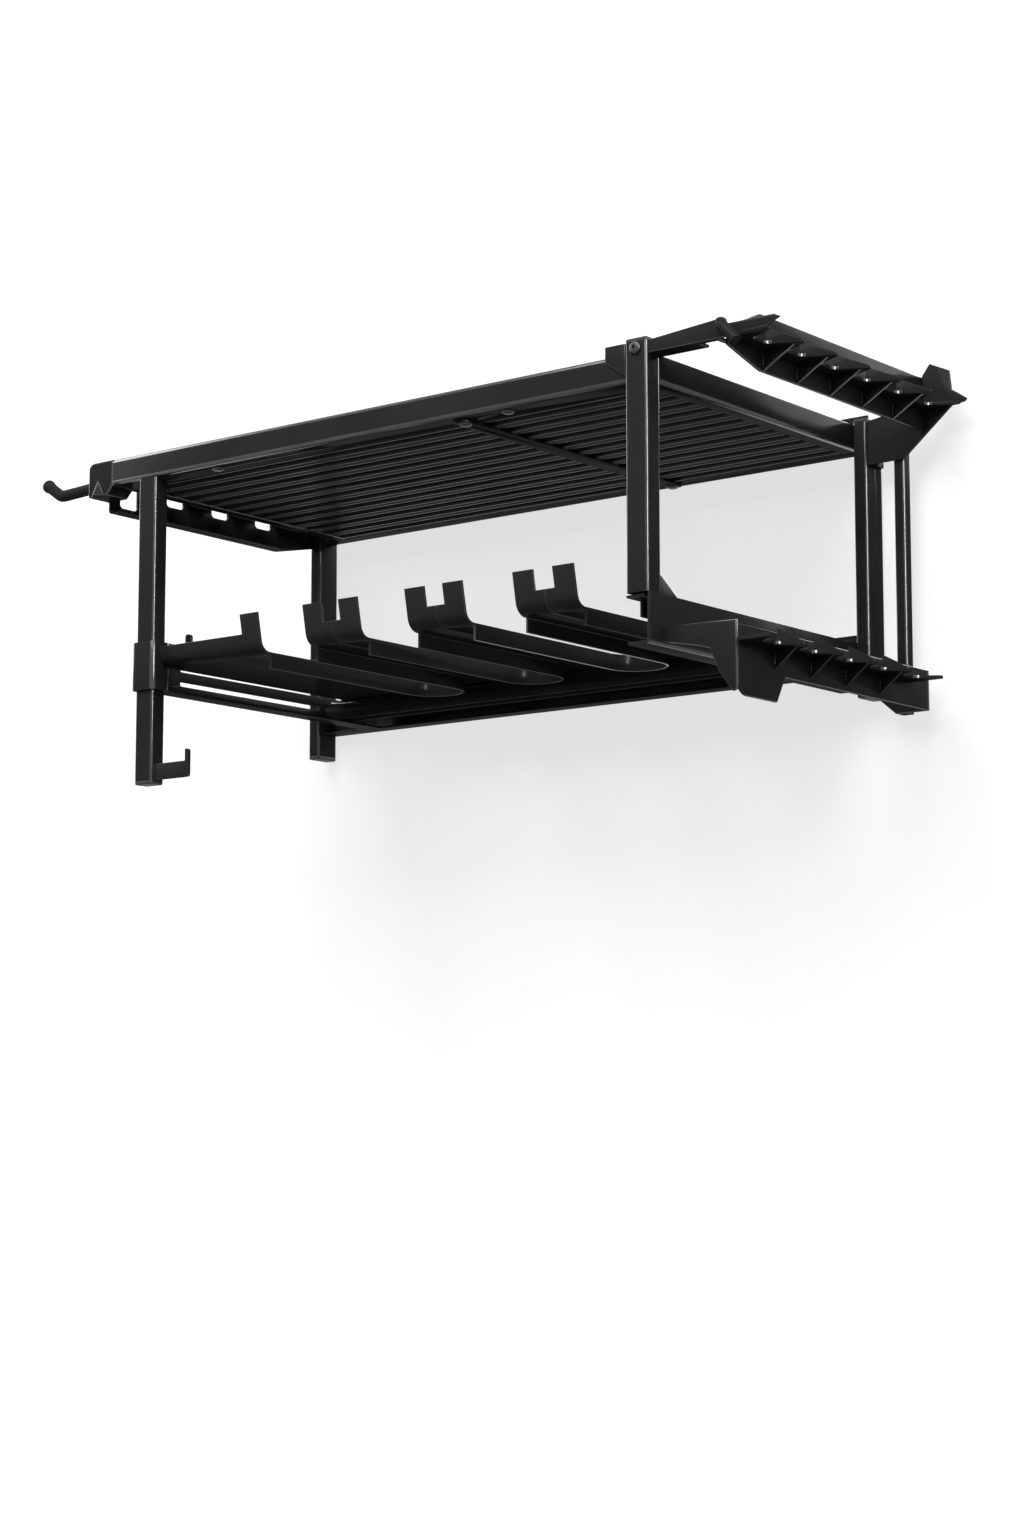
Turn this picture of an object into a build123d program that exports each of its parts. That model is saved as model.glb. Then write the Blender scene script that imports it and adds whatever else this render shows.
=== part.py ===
"""A wall-mounted steel tool rack.

A slatted shelf stands on two front posts and two rear uprights. A lower tier of
four slotted cradles hangs under it, a notched rail runs along its left end, and
two combs with tapered fingers stand off its right end.

X runs along the wall, Y runs from the front to the wall, and Z is up. The origin
is the middle of the four wall holes, on the wall face of the two back rails.
"""
import os

from build123d import *

os.makedirs("parts", exist_ok=True)

# The whole rack
post_span = 430.0          # over the outer sides of the two front posts
left_overhang = 50.0       # shelf beyond the left front post
shelf_depth = 250.0        # wall to the front face of the beam
tier_drop = 147.0          # underside of the shelf to the underside of the lower tier
overrun = 3.0              # how far a cut runs past what it cuts
fit_gap = 0.3              # clearance between a piece and what it fits round

# Sheet steel
sheet = 1.6
bend = 1.8                 # radius of a fold, on the mid-line of the sheet
plate = 2.0                # flat plates of the side rails

# Wall holes, in the two back rails
wall_hole_inset = 11.8     # holes in from the outer sides of the posts
wall_hole_radius = 3.5
wall_hole_height = 14.0    # above the underside of a back rail

# Front beam
beam_height = 18.0
beam_top_flange = 12.0
beam_flange = 20.0

# Back rails of the shelf and of the tier
back_height = 27.0
back_flange = 14.0

# Front posts and rear uprights, square-cornered tubes
post_width = 16.0
post_depth = 12.0
tube_wall = 1.4
tube_corner = 1.5
post_rise = 24.0           # right post above the underside of the shelf
post_drop = 209.0          # left post below the underside of the shelf
upright_width = 10.0
upright_depth = 20.0
upright_foot = 16.0        # uprights below the tier
cap_thick = 2.4
cap_plug = 7.0

# Shelf deck
deck_inset = 18.0          # left rail of the deck, in from the end of the shelf
side_flange = 12.0
side_height = 17.0
slat_count = 12
slat_gap = 5.0
brace_width = 12.0
brace_from_right = 146.0   # right edge of the brace, in from the right side
brace_lap = 13.0           # how far the brace laps under the beam
brace_rear_lap = 8.0       # and under the back rail
rivet_inset = 115.0        # front rivets, in from the ends of the shelf
rivet_radius = 2.0
rivet_head_radius = 4.2
rivet_head_height = 1.8

# Left end of the beam
block_width = 24.0
block_depth = 20.0
block_drop = 6.0           # block below the beam
block_corner = 5.0
block_edge = 1.2
block_tenon = 10.0
nose_width = 15.0
nose_reach = 5.0
nose_height = 14.0
nose_inset = 2.0

# Left hook
hook_radius = 4.0
hook_run = 36.0
hook_dip = 1.5
hook_lift = 11.0
hook_tip_run = 16.0
hook_bend = 9.0
hook_back = 9.0            # middle of the hook behind the beam's face
hook_height = 3.0

# Left tool rail
left_rail_drop = 14.0      # its underside below the shelf
left_rail_height = 22.0
left_rail_flange = 12.0
left_rail_cut_run = 42.0   # sloping cut at its rear lower corner
left_rail_cut_rise = 9.0
left_notch_first = 18.0    # middle of the first notch, behind the front end of the rail
left_notch_pitch = 46.0
left_notch_width = 17.0
left_notch_depths = [16.0, 7.0, 7.0, 7.0]
left_notch_corner = 3.0

# Lower tier
tier_flange = 16.0
tier_left_height = 37.0
tier_right_height = 18.0
tier_right_drop = 13.0     # right rail below the underside of the tier
tier_slot_height = 3.0
tier_slot_length = 168.0
tier_slot_rise = 10.0      # spacing of the two long slots
tab_height = 9.0
tab_width = 6.0
tab_back = 50.0            # tab of the left rail, behind the beam's face
cradle_count = 4
cradle_first = 132.0       # middle of the first slot, in from the left side
cradle_last = 37.0         # middle of the last slot, in from the right side
cradle_margin = 19.0       # left edge of the first cradle, in from the left side
cradle_height = 17.0       # top of a cradle above the underside of the tier
cradle_flange = 11.0       # depth of the flange round a slot
cradle_slot = 40.0
cradle_web = 13.0          # sheet between the end of a slot and the cross bar
cradle_lip = 26.0          # tall lips beside a slot, above the cradle
cradle_lip_width = 16.0
cradle_low_lip = 13.0      # the lower front edge beyond the tall lips
cradle_lip_radius = 9.0
cradle_lip_lean = 5.0
cradle_cut = 26.0          # rear corner of the last cradle, cut out round the wall hole
cradle_cut_side = 8.0      # from the middle of the wall hole to the side of the cut
cross_bar_width = 16.0
cross_bar_back = 52.0      # middle of the cross bar, in front of the wall

# Bracket behind the foot of the right post, inside the right rail
bracket_rise = 12.0
bracket_run = 20.0

# Collar of the left post
collar_wall = 2.0
collar_height = 33.0

# Foot hook of the left post
foot_reach = 33.0
foot_height = 11.0
foot_lift = 8.0
foot_end = 3.5

# Right end: arms, peg and combs
arm_reach = 50.0           # right side of the rack to the back plate of the combs
arm_tip = 94.0
arm_rise = 28.0            # top of the front arm's corner above the underside of the shelf
arm_underside = 16.0
arm_flange = 14.0
arm_notch_width = 12.0     # notch in the arm's flange for one more tool
arm_notch_depth = 9.0
arm_notch_in = 9.0         # middle of the notch, in from the back plate of the combs
peg_radius = 3.4
peg_run = 13.5
peg_fall = 13.5
peg_stand = 5.0
peg_bend = 4.5
comb_back = 18.0           # rear end of the upper comb, in front of the wall
comb_front = 9.0           # its front end, behind the beam's face
comb_height = 18.5
comb_depth = 30.0
comb_slots = 6
comb_slot_width = 16.0
comb_root = 9.0            # slot root, out from the back plate
comb_tip = 4.0
fin_height = 9.0
fin_thick = 1.8
gusset_run = 22.0
gusset_drop = 13.0
back_plate_top = 22.0      # above the comb
back_plate_drop = 13.5
back_plate_ramp = 34.0
rear_arm_drop = 11.0
strut_width = 8.0
strut_depth = 10.0
strut_out = 28.0
lower_comb_drop = 162.0    # underside of the lower comb below the shelf
lower_comb_front = 16.0
lower_comb_depth = 24.0
lower_comb_slots = 5
lower_plate_top = 10.0
lower_plate_drop = 32.0
lower_plate_deep = 41.0    # length of the deep front part of the back plate
lower_plate_corner = 10.0

# Screws, bolts and nuts
screw_radius = 2.0
screw_length = 5.0
screw_head_radius = 4.0
screw_head_height = 2.4
screw_socket = 1.3
bolt_length = 9.0
nut_flat = 7.0
nut_height = 3.2
corner_plate_width = 15.0  # left of the right post
corner_plate_height = 20.0

# Places that follow from the sizes
right_x = post_span / 2
left_post_x = -post_span / 2
left_x = left_post_x - left_overhang
wall_hole_x = right_x - wall_hole_inset
front_y = -shelf_depth
shelf_z = tier_drop / 2 - wall_hole_height
tier_z = shelf_z - tier_drop
deck_left_x = left_x + deck_inset
beam_right_x = right_x - post_width
beam_left_x = left_x + block_width
half = sheet / 2
fold_clear = half + bend + fit_gap   # clears the round inside a fold
comb_x = right_x + arm_reach
comb_pitch = (shelf_depth - comb_back - comb_front) / comb_slots
lower_comb_pitch = 39.5
rear_plate_y = -comb_back
cradle_pitch = (post_span - cradle_first - cradle_last) / (cradle_count - 1)


def level(z):
    """Plane at a height, seen from above; sketches on it use X and Y."""
    return Plane.XY.offset(z)


def section(x):
    """Plane across the rack at X; sketches on it use Y and Z and run towards plus X."""
    return Plane.YZ.offset(x)


def facing(y):
    """Plane facing the front at Y; sketches on it use X and Z and run towards the front."""
    return Plane.XZ.offset(-y)


def folded(plane, *corners):
    """Face of a folded strip of sheet whose mid-line runs through the corners."""
    with BuildSketch(plane) as strip:
        with BuildLine():
            FilletPolyline(*corners, radius=bend)
        trace(line_width=sheet)
    return strip.sketch


def tube(plane, x, y, width, depth):
    """Face of a square-cornered tube with one corner at X and Y."""
    with BuildSketch(plane) as ring:
        with Locations((x + width / 2, y + depth / 2)):
            RectangleRounded(width, depth, tube_corner)
            Rectangle(width - 2 * tube_wall, depth - 2 * tube_wall, mode=Mode.SUBTRACT)
    return ring.sketch


def outline(plane, points):
    """Face inside a closed line of straight runs."""
    with BuildSketch(plane) as shape:
        with BuildLine():
            Polyline(*points, close=True)
        make_face()
    return shape.sketch


def drill(seats, radius, depth):
    """Round holes from the seats into whatever is being made."""
    with Locations(*seats):
        Hole(radius=radius, depth=depth)


def save(piece, label):
    """Label a finished piece and write it to its own file."""
    piece.part.label = label
    export_step(piece.part, f"parts/{label}.step")


# Seats of the screws: each plane faces outwards from the surface under the head
post_mid_x = right_x - post_width / 2
collar_outer_x = left_post_x - fit_gap - collar_wall
right_post_front = front_y - sheet
corner_screw_seat = Plane(
    (post_mid_x, right_post_front, shelf_z + post_rise - screw_head_radius), (1, 0, 0), (0, -1, 0)
)
collar_screw_seat = Plane(
    (collar_outer_x, front_y + post_depth / 2, tier_z + collar_height - screw_head_radius),
    (0, -1, 0),
    (-1, 0, 0),
)
rear_screw_seats = [
    Plane(
        (right_x + upright_width + plate, -comb_back / 2, shelf_z + height),
        (0, 1, 0),
        (1, 0, 0),
    )
    for height in (beam_height - 3 * screw_head_radius, -rear_arm_drop + screw_head_radius)
]
screw_seats = [corner_screw_seat, collar_screw_seat, *rear_screw_seats]
screw_hole_radius = screw_radius + fit_gap

# Seats of the deck rivets, under the beam's flange and under the brace
brace_x = right_x - brace_from_right - brace_width / 2
brace_front_y = front_y + beam_flange - brace_lap
brace_rear_y = -back_flange + brace_rear_lap
beam_rivets = [
    Plane((x, front_y + beam_flange / 2, shelf_z), (1, 0, 0), (0, 0, -1))
    for x in (left_x + rivet_inset, right_x - rivet_inset)
]
brace_rivets = [
    Plane((brace_x, y, shelf_z - sheet), (1, 0, 0), (0, 0, -1))
    for y in (brace_front_y + brace_lap / 2, brace_rear_y - rivet_head_radius - fit_gap)
]

# Front beam: a channel open to the back
with BuildPart() as front_beam:
    top = shelf_z + beam_height - half
    extrude(
        folded(
            section(beam_left_x),
            (front_y + beam_top_flange, top),
            (front_y + half, top),
            (front_y + half, shelf_z + half),
            (front_y + beam_flange, shelf_z + half),
        ),
        amount=beam_right_x - beam_left_x,
    )
    drill(beam_rivets, rivet_radius, sheet + overrun)
    drill(brace_rivets[:1], rivet_radius, 2 * sheet + overrun)
save(front_beam, "front_beam")


def wall_holes(z):
    """Seats of the two wall holes of a back rail whose underside is at Z."""
    height = z + wall_hole_height
    return [
        Plane((x, -sheet, height), (1, 0, 0), (0, -1, 0))
        for x in (-wall_hole_x, wall_hole_x)
    ]


# Back rail of the shelf: an angle, flat on the wall
back_left_x = left_x + upright_width
with BuildPart() as shelf_back_rail:
    extrude(
        folded(
            section(back_left_x),
            (-back_flange, shelf_z + half),
            (-half, shelf_z + half),
            (-half, shelf_z + back_height),
        ),
        amount=right_x - back_left_x,
    )
    drill(wall_holes(shelf_z), wall_hole_radius, sheet)
    drill(brace_rivets[1:], rivet_radius, 2 * sheet + overrun)
save(shelf_back_rail, "shelf_back_rail")

# Back rail of the tier: the same angle, lower down
with BuildPart() as tier_back_rail:
    extrude(
        folded(
            section(back_left_x),
            (-back_flange, tier_z + half),
            (-half, tier_z + half),
            (-half, tier_z + back_height),
        ),
        amount=right_x - back_left_x,
    )
    drill(wall_holes(tier_z), wall_hole_radius, sheet)
save(tier_back_rail, "tier_back_rail")

# Left front post, down to its foot, and the right one, from the tier to above the beam;
# the right one is deeper, so that it is flush with the plate on the beam
with BuildPart() as left_front_post:
    extrude(
        tube(level(shelf_z - post_drop), left_post_x, front_y, post_width, post_depth),
        amount=post_drop,
    )
    drill([collar_screw_seat], screw_hole_radius, screw_length + overrun)
save(left_front_post, "left_front_post")

right_post_x = right_x - post_width
right_post_z = tier_z + tier_right_height
right_post_depth = post_depth + sheet
with BuildPart() as right_front_post:
    extrude(
        tube(level(right_post_z), right_post_x, right_post_front, post_width, right_post_depth),
        amount=shelf_z + post_rise - right_post_z,
    )
    drill([corner_screw_seat], screw_hole_radius, screw_length + overrun)
save(right_front_post, "right_front_post")

# Rear uprights, at the two ends of the back rails
upright_z = tier_z - upright_foot
upright_top = shelf_z + beam_height
with BuildPart() as left_rear_upright:
    extrude(
        tube(level(upright_z), left_x, -upright_depth, upright_width, upright_depth),
        amount=upright_top - upright_z,
    )
save(left_rear_upright, "left_rear_upright")

with BuildPart() as right_rear_upright:
    extrude(
        tube(level(upright_z), right_x, -upright_depth, upright_width, upright_depth),
        amount=upright_top - upright_z,
    )
    drill(rear_screw_seats, screw_hole_radius, screw_length + overrun)
save(right_rear_upright, "right_rear_upright")


def cap(x, y, width, depth, z, outward):
    """A plastic cap on a tube's end at Z, with a plug inside the tube."""
    with BuildPart() as lid:
        with BuildSketch(level(z)):
            with Locations((x + width / 2, y + depth / 2)):
                RectangleRounded(width, depth, tube_corner)
        extrude(amount=outward * cap_thick)
        with BuildSketch(level(z)):
            with Locations((x + width / 2, y + depth / 2)):
                inset = 2 * (tube_wall + fit_gap)
                Rectangle(width - inset, depth - inset)
        extrude(amount=-outward * cap_plug)
        rim = lid.faces().sort_by(Axis.Z)[-1 if outward > 0 else 0]
        chamfer(rim.edges(), length=cap_thick / 3)
    return lid


save(
    cap(left_post_x, front_y, post_width, post_depth, shelf_z - post_drop, -1),
    "left_post_foot_cap",
)
with BuildPart() as right_post_cap:
    cap_z = shelf_z + post_rise
    add(cap(right_post_x, right_post_front, post_width, right_post_depth, cap_z, 1).part)
    drill([corner_screw_seat], screw_hole_radius, screw_length + overrun)
save(right_post_cap, "right_post_cap")
upright_ends = [
    cap(x, -upright_depth, upright_width, upright_depth, z, outward)
    for x in (left_x, right_x)
    for z, outward in ((upright_z, -1), (upright_top, 1))
]
with BuildPart() as upright_caps:
    add([end.part for end in upright_ends])
save(upright_caps, "upright_caps")

# Side rails of the deck: angles whose flanges carry the slats
rail_rear_y = -back_flange
with BuildPart() as deck_left_rail:
    extrude(
        folded(
            facing(rail_rear_y),
            (deck_left_x + half, shelf_z + side_height),
            (deck_left_x + half, shelf_z + half),
            (deck_left_x + side_flange, shelf_z + half),
        ),
        amount=shelf_depth - back_flange - beam_flange,
    )
save(deck_left_rail, "deck_left_rail")

with BuildPart() as deck_right_rail:
    extrude(
        folded(
            facing(rail_rear_y),
            (right_x - half, shelf_z + side_height),
            (right_x - half, shelf_z + half),
            (right_x - side_flange, shelf_z + half),
        ),
        amount=shelf_depth - back_flange - post_depth,
    )
save(deck_right_rail, "deck_right_rail")

# Brace under the slats, lapped under the beam and the back rail
with BuildPart() as deck_brace:
    with BuildSketch(level(shelf_z - sheet)):
        with Locations((brace_x, (brace_front_y + brace_rear_y) / 2)):
            Rectangle(brace_width, brace_rear_y - brace_front_y)
    extrude(amount=sheet)
    fillet(deck_brace.edges().filter_by(Axis.Z), radius=brace_width / 4)
    drill(brace_rivets, rivet_radius, sheet + overrun)
save(deck_brace, "deck_brace")

# Slats: strips that rest on the side rails, with a lip turned down between them
slat_field = shelf_depth - beam_flange - back_flange
slat_pitch = slat_field / slat_count
slat_width = slat_pitch - slat_gap
slat_left_x = deck_left_x + fold_clear
slat_right_x = right_x - fold_clear
lip_left_x = deck_left_x + side_flange + fit_gap
lip_right_x = right_x - side_flange - fit_gap
for number in range(slat_count):
    slat_y = front_y + beam_flange + slat_gap / 2 + number * slat_pitch
    with BuildPart() as slat:
        with BuildSketch(level(shelf_z + sheet)):
            with Locations(((slat_left_x + slat_right_x) / 2, slat_y + slat_width / 2)):
                Rectangle(slat_right_x - slat_left_x, slat_width)
        extrude(amount=sheet)
        with BuildSketch(level(shelf_z)):
            with Locations(
                ((lip_left_x + lip_right_x) / 2, slat_y + half),
                ((lip_left_x + lip_right_x) / 2, slat_y + slat_width - half),
            ):
                Rectangle(lip_right_x - lip_left_x, sheet)
        extrude(amount=2 * sheet)
        lip_top = slat.edges().filter_by(Axis.X).group_by(Axis.Z)[-1]
        fillet(lip_top, radius=half)
    save(slat, f"slat_{number + 1:02d}")

# Strip under the front of the goods, riveted to the beam's flange
with BuildPart() as deck_front_strip:
    with BuildSketch(level(shelf_z + sheet)):
        strip_left_x = beam_left_x + block_tenon + fit_gap
        strip_y = front_y + sheet + bend
        with Locations(((strip_left_x + beam_right_x) / 2, (strip_y + front_y + beam_flange) / 2)):
            Rectangle(beam_right_x - strip_left_x, front_y + beam_flange - strip_y)
    extrude(amount=sheet)
    drill([seat.offset(-sheet) for seat in beam_rivets], rivet_radius, sheet + overrun)
    drill([brace_rivets[0].offset(-sheet)], rivet_radius, 2 * sheet + overrun)
save(deck_front_strip, "deck_front_strip")


def rivet(grip):
    """A rivet with a sloping head: the head stands on the seat, the shank goes in."""
    with BuildPart() as pin:
        with BuildSketch(Plane.XZ):
            with BuildLine():
                Polyline(
                    (0, -grip),
                    (rivet_radius, -grip),
                    (rivet_radius, 0),
                    (rivet_head_radius, 0),
                    (rivet_head_radius / 2, rivet_head_height),
                    (0, rivet_head_height),
                    close=True,
                )
            make_face()
        revolve(axis=Axis.Z)
    return pin.part


with BuildPart() as deck_rivets:
    with Locations(*beam_rivets):
        add(rivet(2 * sheet))
    with Locations(brace_rivets[0]):
        add(rivet(3 * sheet))
    with Locations(brace_rivets[1]):
        add(rivet(2 * sheet))
save(deck_rivets, "deck_rivets")

# Corner block at the left end of the beam, with a nose below the front
with BuildPart() as beam_end_block:
    with BuildSketch(facing(front_y + block_depth)) as face:
        with BuildLine():
            Polyline(
                (left_x, shelf_z - block_drop),
                (left_x, shelf_z + beam_height),
                (beam_left_x, shelf_z + beam_height),
                (beam_left_x, shelf_z),
                (beam_left_x - block_drop, shelf_z - block_drop),
                close=True,
            )
        make_face()
        corner = face.vertices().group_by(Axis.X)[0].sort_by(Axis.Y)[-1]
        fillet(corner, radius=block_corner)
    extrude(amount=block_depth)
    front_edges = beam_end_block.faces().sort_by(Axis.Y)[0].edges()
    fillet(front_edges.filter_by(Axis.X, reverse=True), radius=block_edge)
    with BuildSketch(section(beam_left_x)):
        with Locations(
            (front_y + (sheet + fit_gap + beam_top_flange) / 2, shelf_z + beam_height / 2)
        ):
            Rectangle(
                beam_top_flange - sheet - fit_gap, beam_height - 2 * (sheet + fit_gap)
            )
    extrude(amount=block_tenon)
    nose_mid_x = left_x + nose_inset + nose_width / 2
    with BuildSketch(level(shelf_z - block_drop)) as nose:
        with BuildLine():
            Polyline(
                (nose_mid_x - nose_width / 2, front_y + nose_reach),
                (nose_mid_x - nose_width / 2, front_y + block_edge),
                (nose_mid_x, front_y - nose_reach),
                (nose_mid_x + nose_width / 2, front_y + block_edge),
                (nose_mid_x + nose_width / 2, front_y + nose_reach),
                close=True,
            )
        make_face()
    nose_tip = Vertex(nose_mid_x, front_y + nose_reach, shelf_z - block_drop + 1.5 * nose_height)
    loft([nose.sketch.face(), nose_tip])
save(beam_end_block, "beam_end_block")

# Left hook: a round rod that dips and turns up at its end
with BuildPart() as left_hook:
    hook_y = front_y + hook_back
    hook_z = shelf_z + hook_height
    with BuildLine() as hook_line:
        FilletPolyline(
            (left_x, hook_y, hook_z),
            (left_x - hook_radius, hook_y, hook_z),
            (left_x - hook_run, hook_y, hook_z - hook_dip),
            (left_x - hook_run - hook_tip_run, hook_y, hook_z - hook_dip + hook_lift),
            radius=hook_bend,
        )
    with BuildSketch(Plane(hook_line.line @ 0, z_dir=hook_line.line % 0)):
        Circle(hook_radius)
    sweep()
    chamfer(left_hook.faces().sort_by(Axis.X)[0].edges(), length=hook_radius / 2)
save(left_hook, "left_hook")

# Left tool rail: a channel whose upper edge is notched for handles
left_rail_z = shelf_z - left_rail_drop
left_rail_top = left_rail_z + left_rail_height
left_rail_front = front_y + block_depth
left_rail_length = -upright_depth - left_rail_front
with BuildPart() as left_tool_rail:
    extrude(
        folded(
            facing(-upright_depth),
            (deck_left_x, left_rail_top - half),
            (left_x + half, left_rail_top - half),
            (left_x + half, left_rail_z + half),
            (left_x + left_rail_flange, left_rail_z + half),
        ),
        amount=left_rail_length,
    )
    with BuildSketch(section(left_x - overrun)) as notches:
        for number, depth in enumerate(left_notch_depths):
            notch_y = left_rail_front + left_notch_first + number * left_notch_pitch
            with Locations((notch_y, left_rail_top - depth)):
                Rectangle(left_notch_width, depth + overrun, align=(Align.CENTER, Align.MIN))
        floors = [v for v in notches.vertices() if v.Y < left_rail_top]
        fillet(floors, radius=left_notch_corner)
    extrude(amount=deck_inset + 2 * overrun, mode=Mode.SUBTRACT)
    extrude(
        outline(
            section(left_x - overrun),
            [
                (-upright_depth - left_rail_cut_run, left_rail_z),
                (-upright_depth, left_rail_z + left_rail_cut_rise),
                (-upright_depth + overrun, left_rail_z - overrun),
                (-upright_depth - left_rail_cut_run, left_rail_z - overrun),
            ],
        ),
        amount=deck_inset + 2 * overrun,
        mode=Mode.SUBTRACT,
    )
save(left_tool_rail, "left_tool_rail")

# Side rails of the tier; the left one has two long slots and a tab
tier_rail_rear = -back_flange
tier_left_front = front_y + post_depth + fit_gap + collar_wall
with BuildPart() as tier_left_rail:
    extrude(
        folded(
            facing(tier_rail_rear),
            (left_post_x + half, tier_z + tier_left_height),
            (left_post_x + half, tier_z + half),
            (left_post_x + tier_flange, tier_z + half),
        ),
        amount=tier_rail_rear - tier_left_front,
    )
    with BuildSketch(section(left_post_x - overrun)):
        slot_y = (tier_left_front + tier_rail_rear) / 2
        with Locations(
            (slot_y, tier_z + tier_slot_rise),
            (slot_y, tier_z + 2 * tier_slot_rise),
        ):
            SlotOverall(tier_slot_length, tier_slot_height)
    extrude(amount=sheet + bend + overrun, mode=Mode.SUBTRACT)
    with BuildSketch(section(left_post_x)) as tab:
        with Locations((front_y + tab_back, tier_z + tier_left_height)):
            Rectangle(tab_width, tab_height, align=(Align.CENTER, Align.MIN))
        fillet(tab.vertices().group_by(Axis.Y)[-1], radius=tab_width / 4)
    extrude(amount=sheet)
save(tier_left_rail, "tier_left_rail")

with BuildPart() as tier_right_rail:
    extrude(
        folded(
            facing(tier_rail_rear),
            (right_x - half, tier_z + tier_right_height),
            (right_x - half, tier_z - tier_right_drop + half),
            (right_x - tier_flange, tier_z - tier_right_drop + half),
        ),
        amount=tier_rail_rear - front_y,
    )
save(tier_right_rail, "tier_right_rail")

# Cross bar under the cradles, from the left rail's flange to the web of the right rail
cross_bar_top = tier_z + cradle_height - sheet
cross_y = -cross_bar_back
with BuildPart() as tier_cross_bar:
    extrude(
        folded(
            section(left_post_x + fold_clear),
            (cross_y - cross_bar_width / 2 + half, tier_z + sheet),
            (cross_y - cross_bar_width / 2 + half, cross_bar_top - half),
            (cross_y + cross_bar_width / 2 - half, cross_bar_top - half),
            (cross_y + cross_bar_width / 2 - half, tier_z + sheet),
        ),
        amount=post_span - fold_clear - sheet,
    )
    cradle_xs = [
        left_post_x + cradle_first + number * cradle_pitch for number in range(cradle_count)
    ]
    bolt_offset = cradle_slot / 2
    bolt_seats = [
        Plane((x + side * bolt_offset, cross_y, tier_z + cradle_height), (1, 0, 0), (0, 0, 1))
        for x in cradle_xs
        for side in (-1, 1)
    ]
    drill(bolt_seats, screw_hole_radius, bolt_length)
save(tier_cross_bar, "tier_cross_bar")

# Cradles: a sheet with a slot open to the front, a flange down the slot, a front edge
# turned up, and a taller lip on each side of the slot; the last one runs under the right post
tongue = (cradle_pitch - cradle_slot) / 2 - fit_gap
cradle_z = tier_z + cradle_height - sheet
cradle_lip_y = front_y + cradle_lip_radius + cradle_lip_lean
slot_end_y = cross_y - cross_bar_width / 2 - cradle_web - cradle_slot / 2
bracket_x = right_x - sheet - plate
for number, x in enumerate(cradle_xs):
    last = number == cradle_count - 1
    slot_left_x = x - cradle_slot / 2
    slot_right_x = x + cradle_slot / 2
    cradle_left_x = slot_left_x - tongue
    cradle_right_x = slot_right_x + tongue
    lips = [
        (slot_left_x - cradle_lip_width, slot_left_x, cradle_lip),
        (slot_right_x, slot_right_x + cradle_lip_width, cradle_lip),
    ]
    if number == 0:
        cradle_left_x = left_post_x + cradle_margin
    if last:
        cradle_right_x = bracket_x - fit_gap
        lips = lips[:1]
    else:
        lips += [(slot_right_x, cradle_right_x, cradle_low_lip)]
    lips += [(cradle_left_x, slot_left_x, cradle_low_lip)]
    cradle_x = (cradle_left_x + cradle_right_x) / 2
    cradle_width = cradle_right_x - cradle_left_x
    slot_seats = [(x, (cradle_lip_y + slot_end_y) / 2), (x, slot_end_y)]
    with BuildPart() as tool_cradle:
        with BuildSketch(level(cradle_z)):
            with Locations((cradle_x, (cradle_lip_y - sheet) / 2)):
                Rectangle(cradle_width, -sheet - cradle_lip_y)
            with Locations(slot_seats[0]):
                Rectangle(cradle_slot, slot_end_y - cradle_lip_y, mode=Mode.SUBTRACT)
            with Locations(slot_seats[1]):
                Circle(cradle_slot / 2, mode=Mode.SUBTRACT)
            if last:
                with Locations((slot_right_x, front_y)):
                    Rectangle(
                        cradle_right_x - slot_right_x,
                        cradle_lip_y - front_y,
                        align=(Align.MIN, Align.MIN),
                    )
        extrude(amount=sheet)
        with BuildSketch(level(tier_z + cradle_height - cradle_flange)):
            with Locations(slot_seats[0]):
                Rectangle(cradle_slot + 2 * sheet, slot_end_y - cradle_lip_y)
            with Locations(slot_seats[1]):
                Circle(cradle_slot / 2 + sheet)
            with Locations(slot_seats[0]):
                Rectangle(cradle_slot, slot_end_y - cradle_lip_y, mode=Mode.SUBTRACT)
            with Locations(slot_seats[1]):
                Circle(cradle_slot / 2, mode=Mode.SUBTRACT)
        extrude(amount=cradle_flange - half)
        with BuildSketch(level(tier_z + sheet)):
            with Locations((cradle_x, -fold_clear - half)):
                Rectangle(cradle_width, sheet)
        extrude(amount=cradle_height - sheet - half)
        for lip_from, lip_to, lip_height in lips:
            lip_mid = cradle_z + half
            lip_lean = cradle_lip_lean * (1 - lip_height / cradle_lip)
            with BuildSketch(section(lip_from)):
                with BuildLine():
                    FilletPolyline(
                        (cradle_lip_y, lip_mid),
                        (front_y + cradle_lip_lean + half, lip_mid),
                        (front_y + lip_lean + half, lip_mid + lip_height),
                        radius=cradle_lip_radius,
                    )
                trace(line_width=sheet)
            extrude(amount=lip_to - lip_from)
        if last:
            with BuildSketch(level(tier_z)):
                with Locations((wall_hole_x - cradle_cut_side, -cradle_cut)):
                    Rectangle(post_width + cradle_cut_side, cradle_cut,
                              align=(Align.MIN, Align.MIN))
            extrude(amount=cradle_height + overrun, mode=Mode.SUBTRACT)
        drill(bolt_seats, screw_hole_radius, sheet + overrun)
    save(tool_cradle, f"tool_cradle_{number + 1}")

# Collar that joins the tier's left rail to the left post
with BuildPart() as tier_collar:
    with BuildSketch(level(tier_z)):
        with Locations((left_post_x + post_width / 2, front_y + post_depth / 2)):
            collar_round = tube_corner + fit_gap
            RectangleRounded(
                post_width + 2 * (fit_gap + collar_wall),
                post_depth + 2 * (fit_gap + collar_wall),
                collar_round + collar_wall / 2,
            )
            RectangleRounded(
                post_width + 2 * fit_gap,
                post_depth + 2 * fit_gap,
                collar_round,
                mode=Mode.SUBTRACT,
            )
    extrude(amount=collar_height)
    drill([collar_screw_seat], screw_hole_radius, collar_wall + overrun)
save(tier_collar, "tier_collar")

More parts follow.
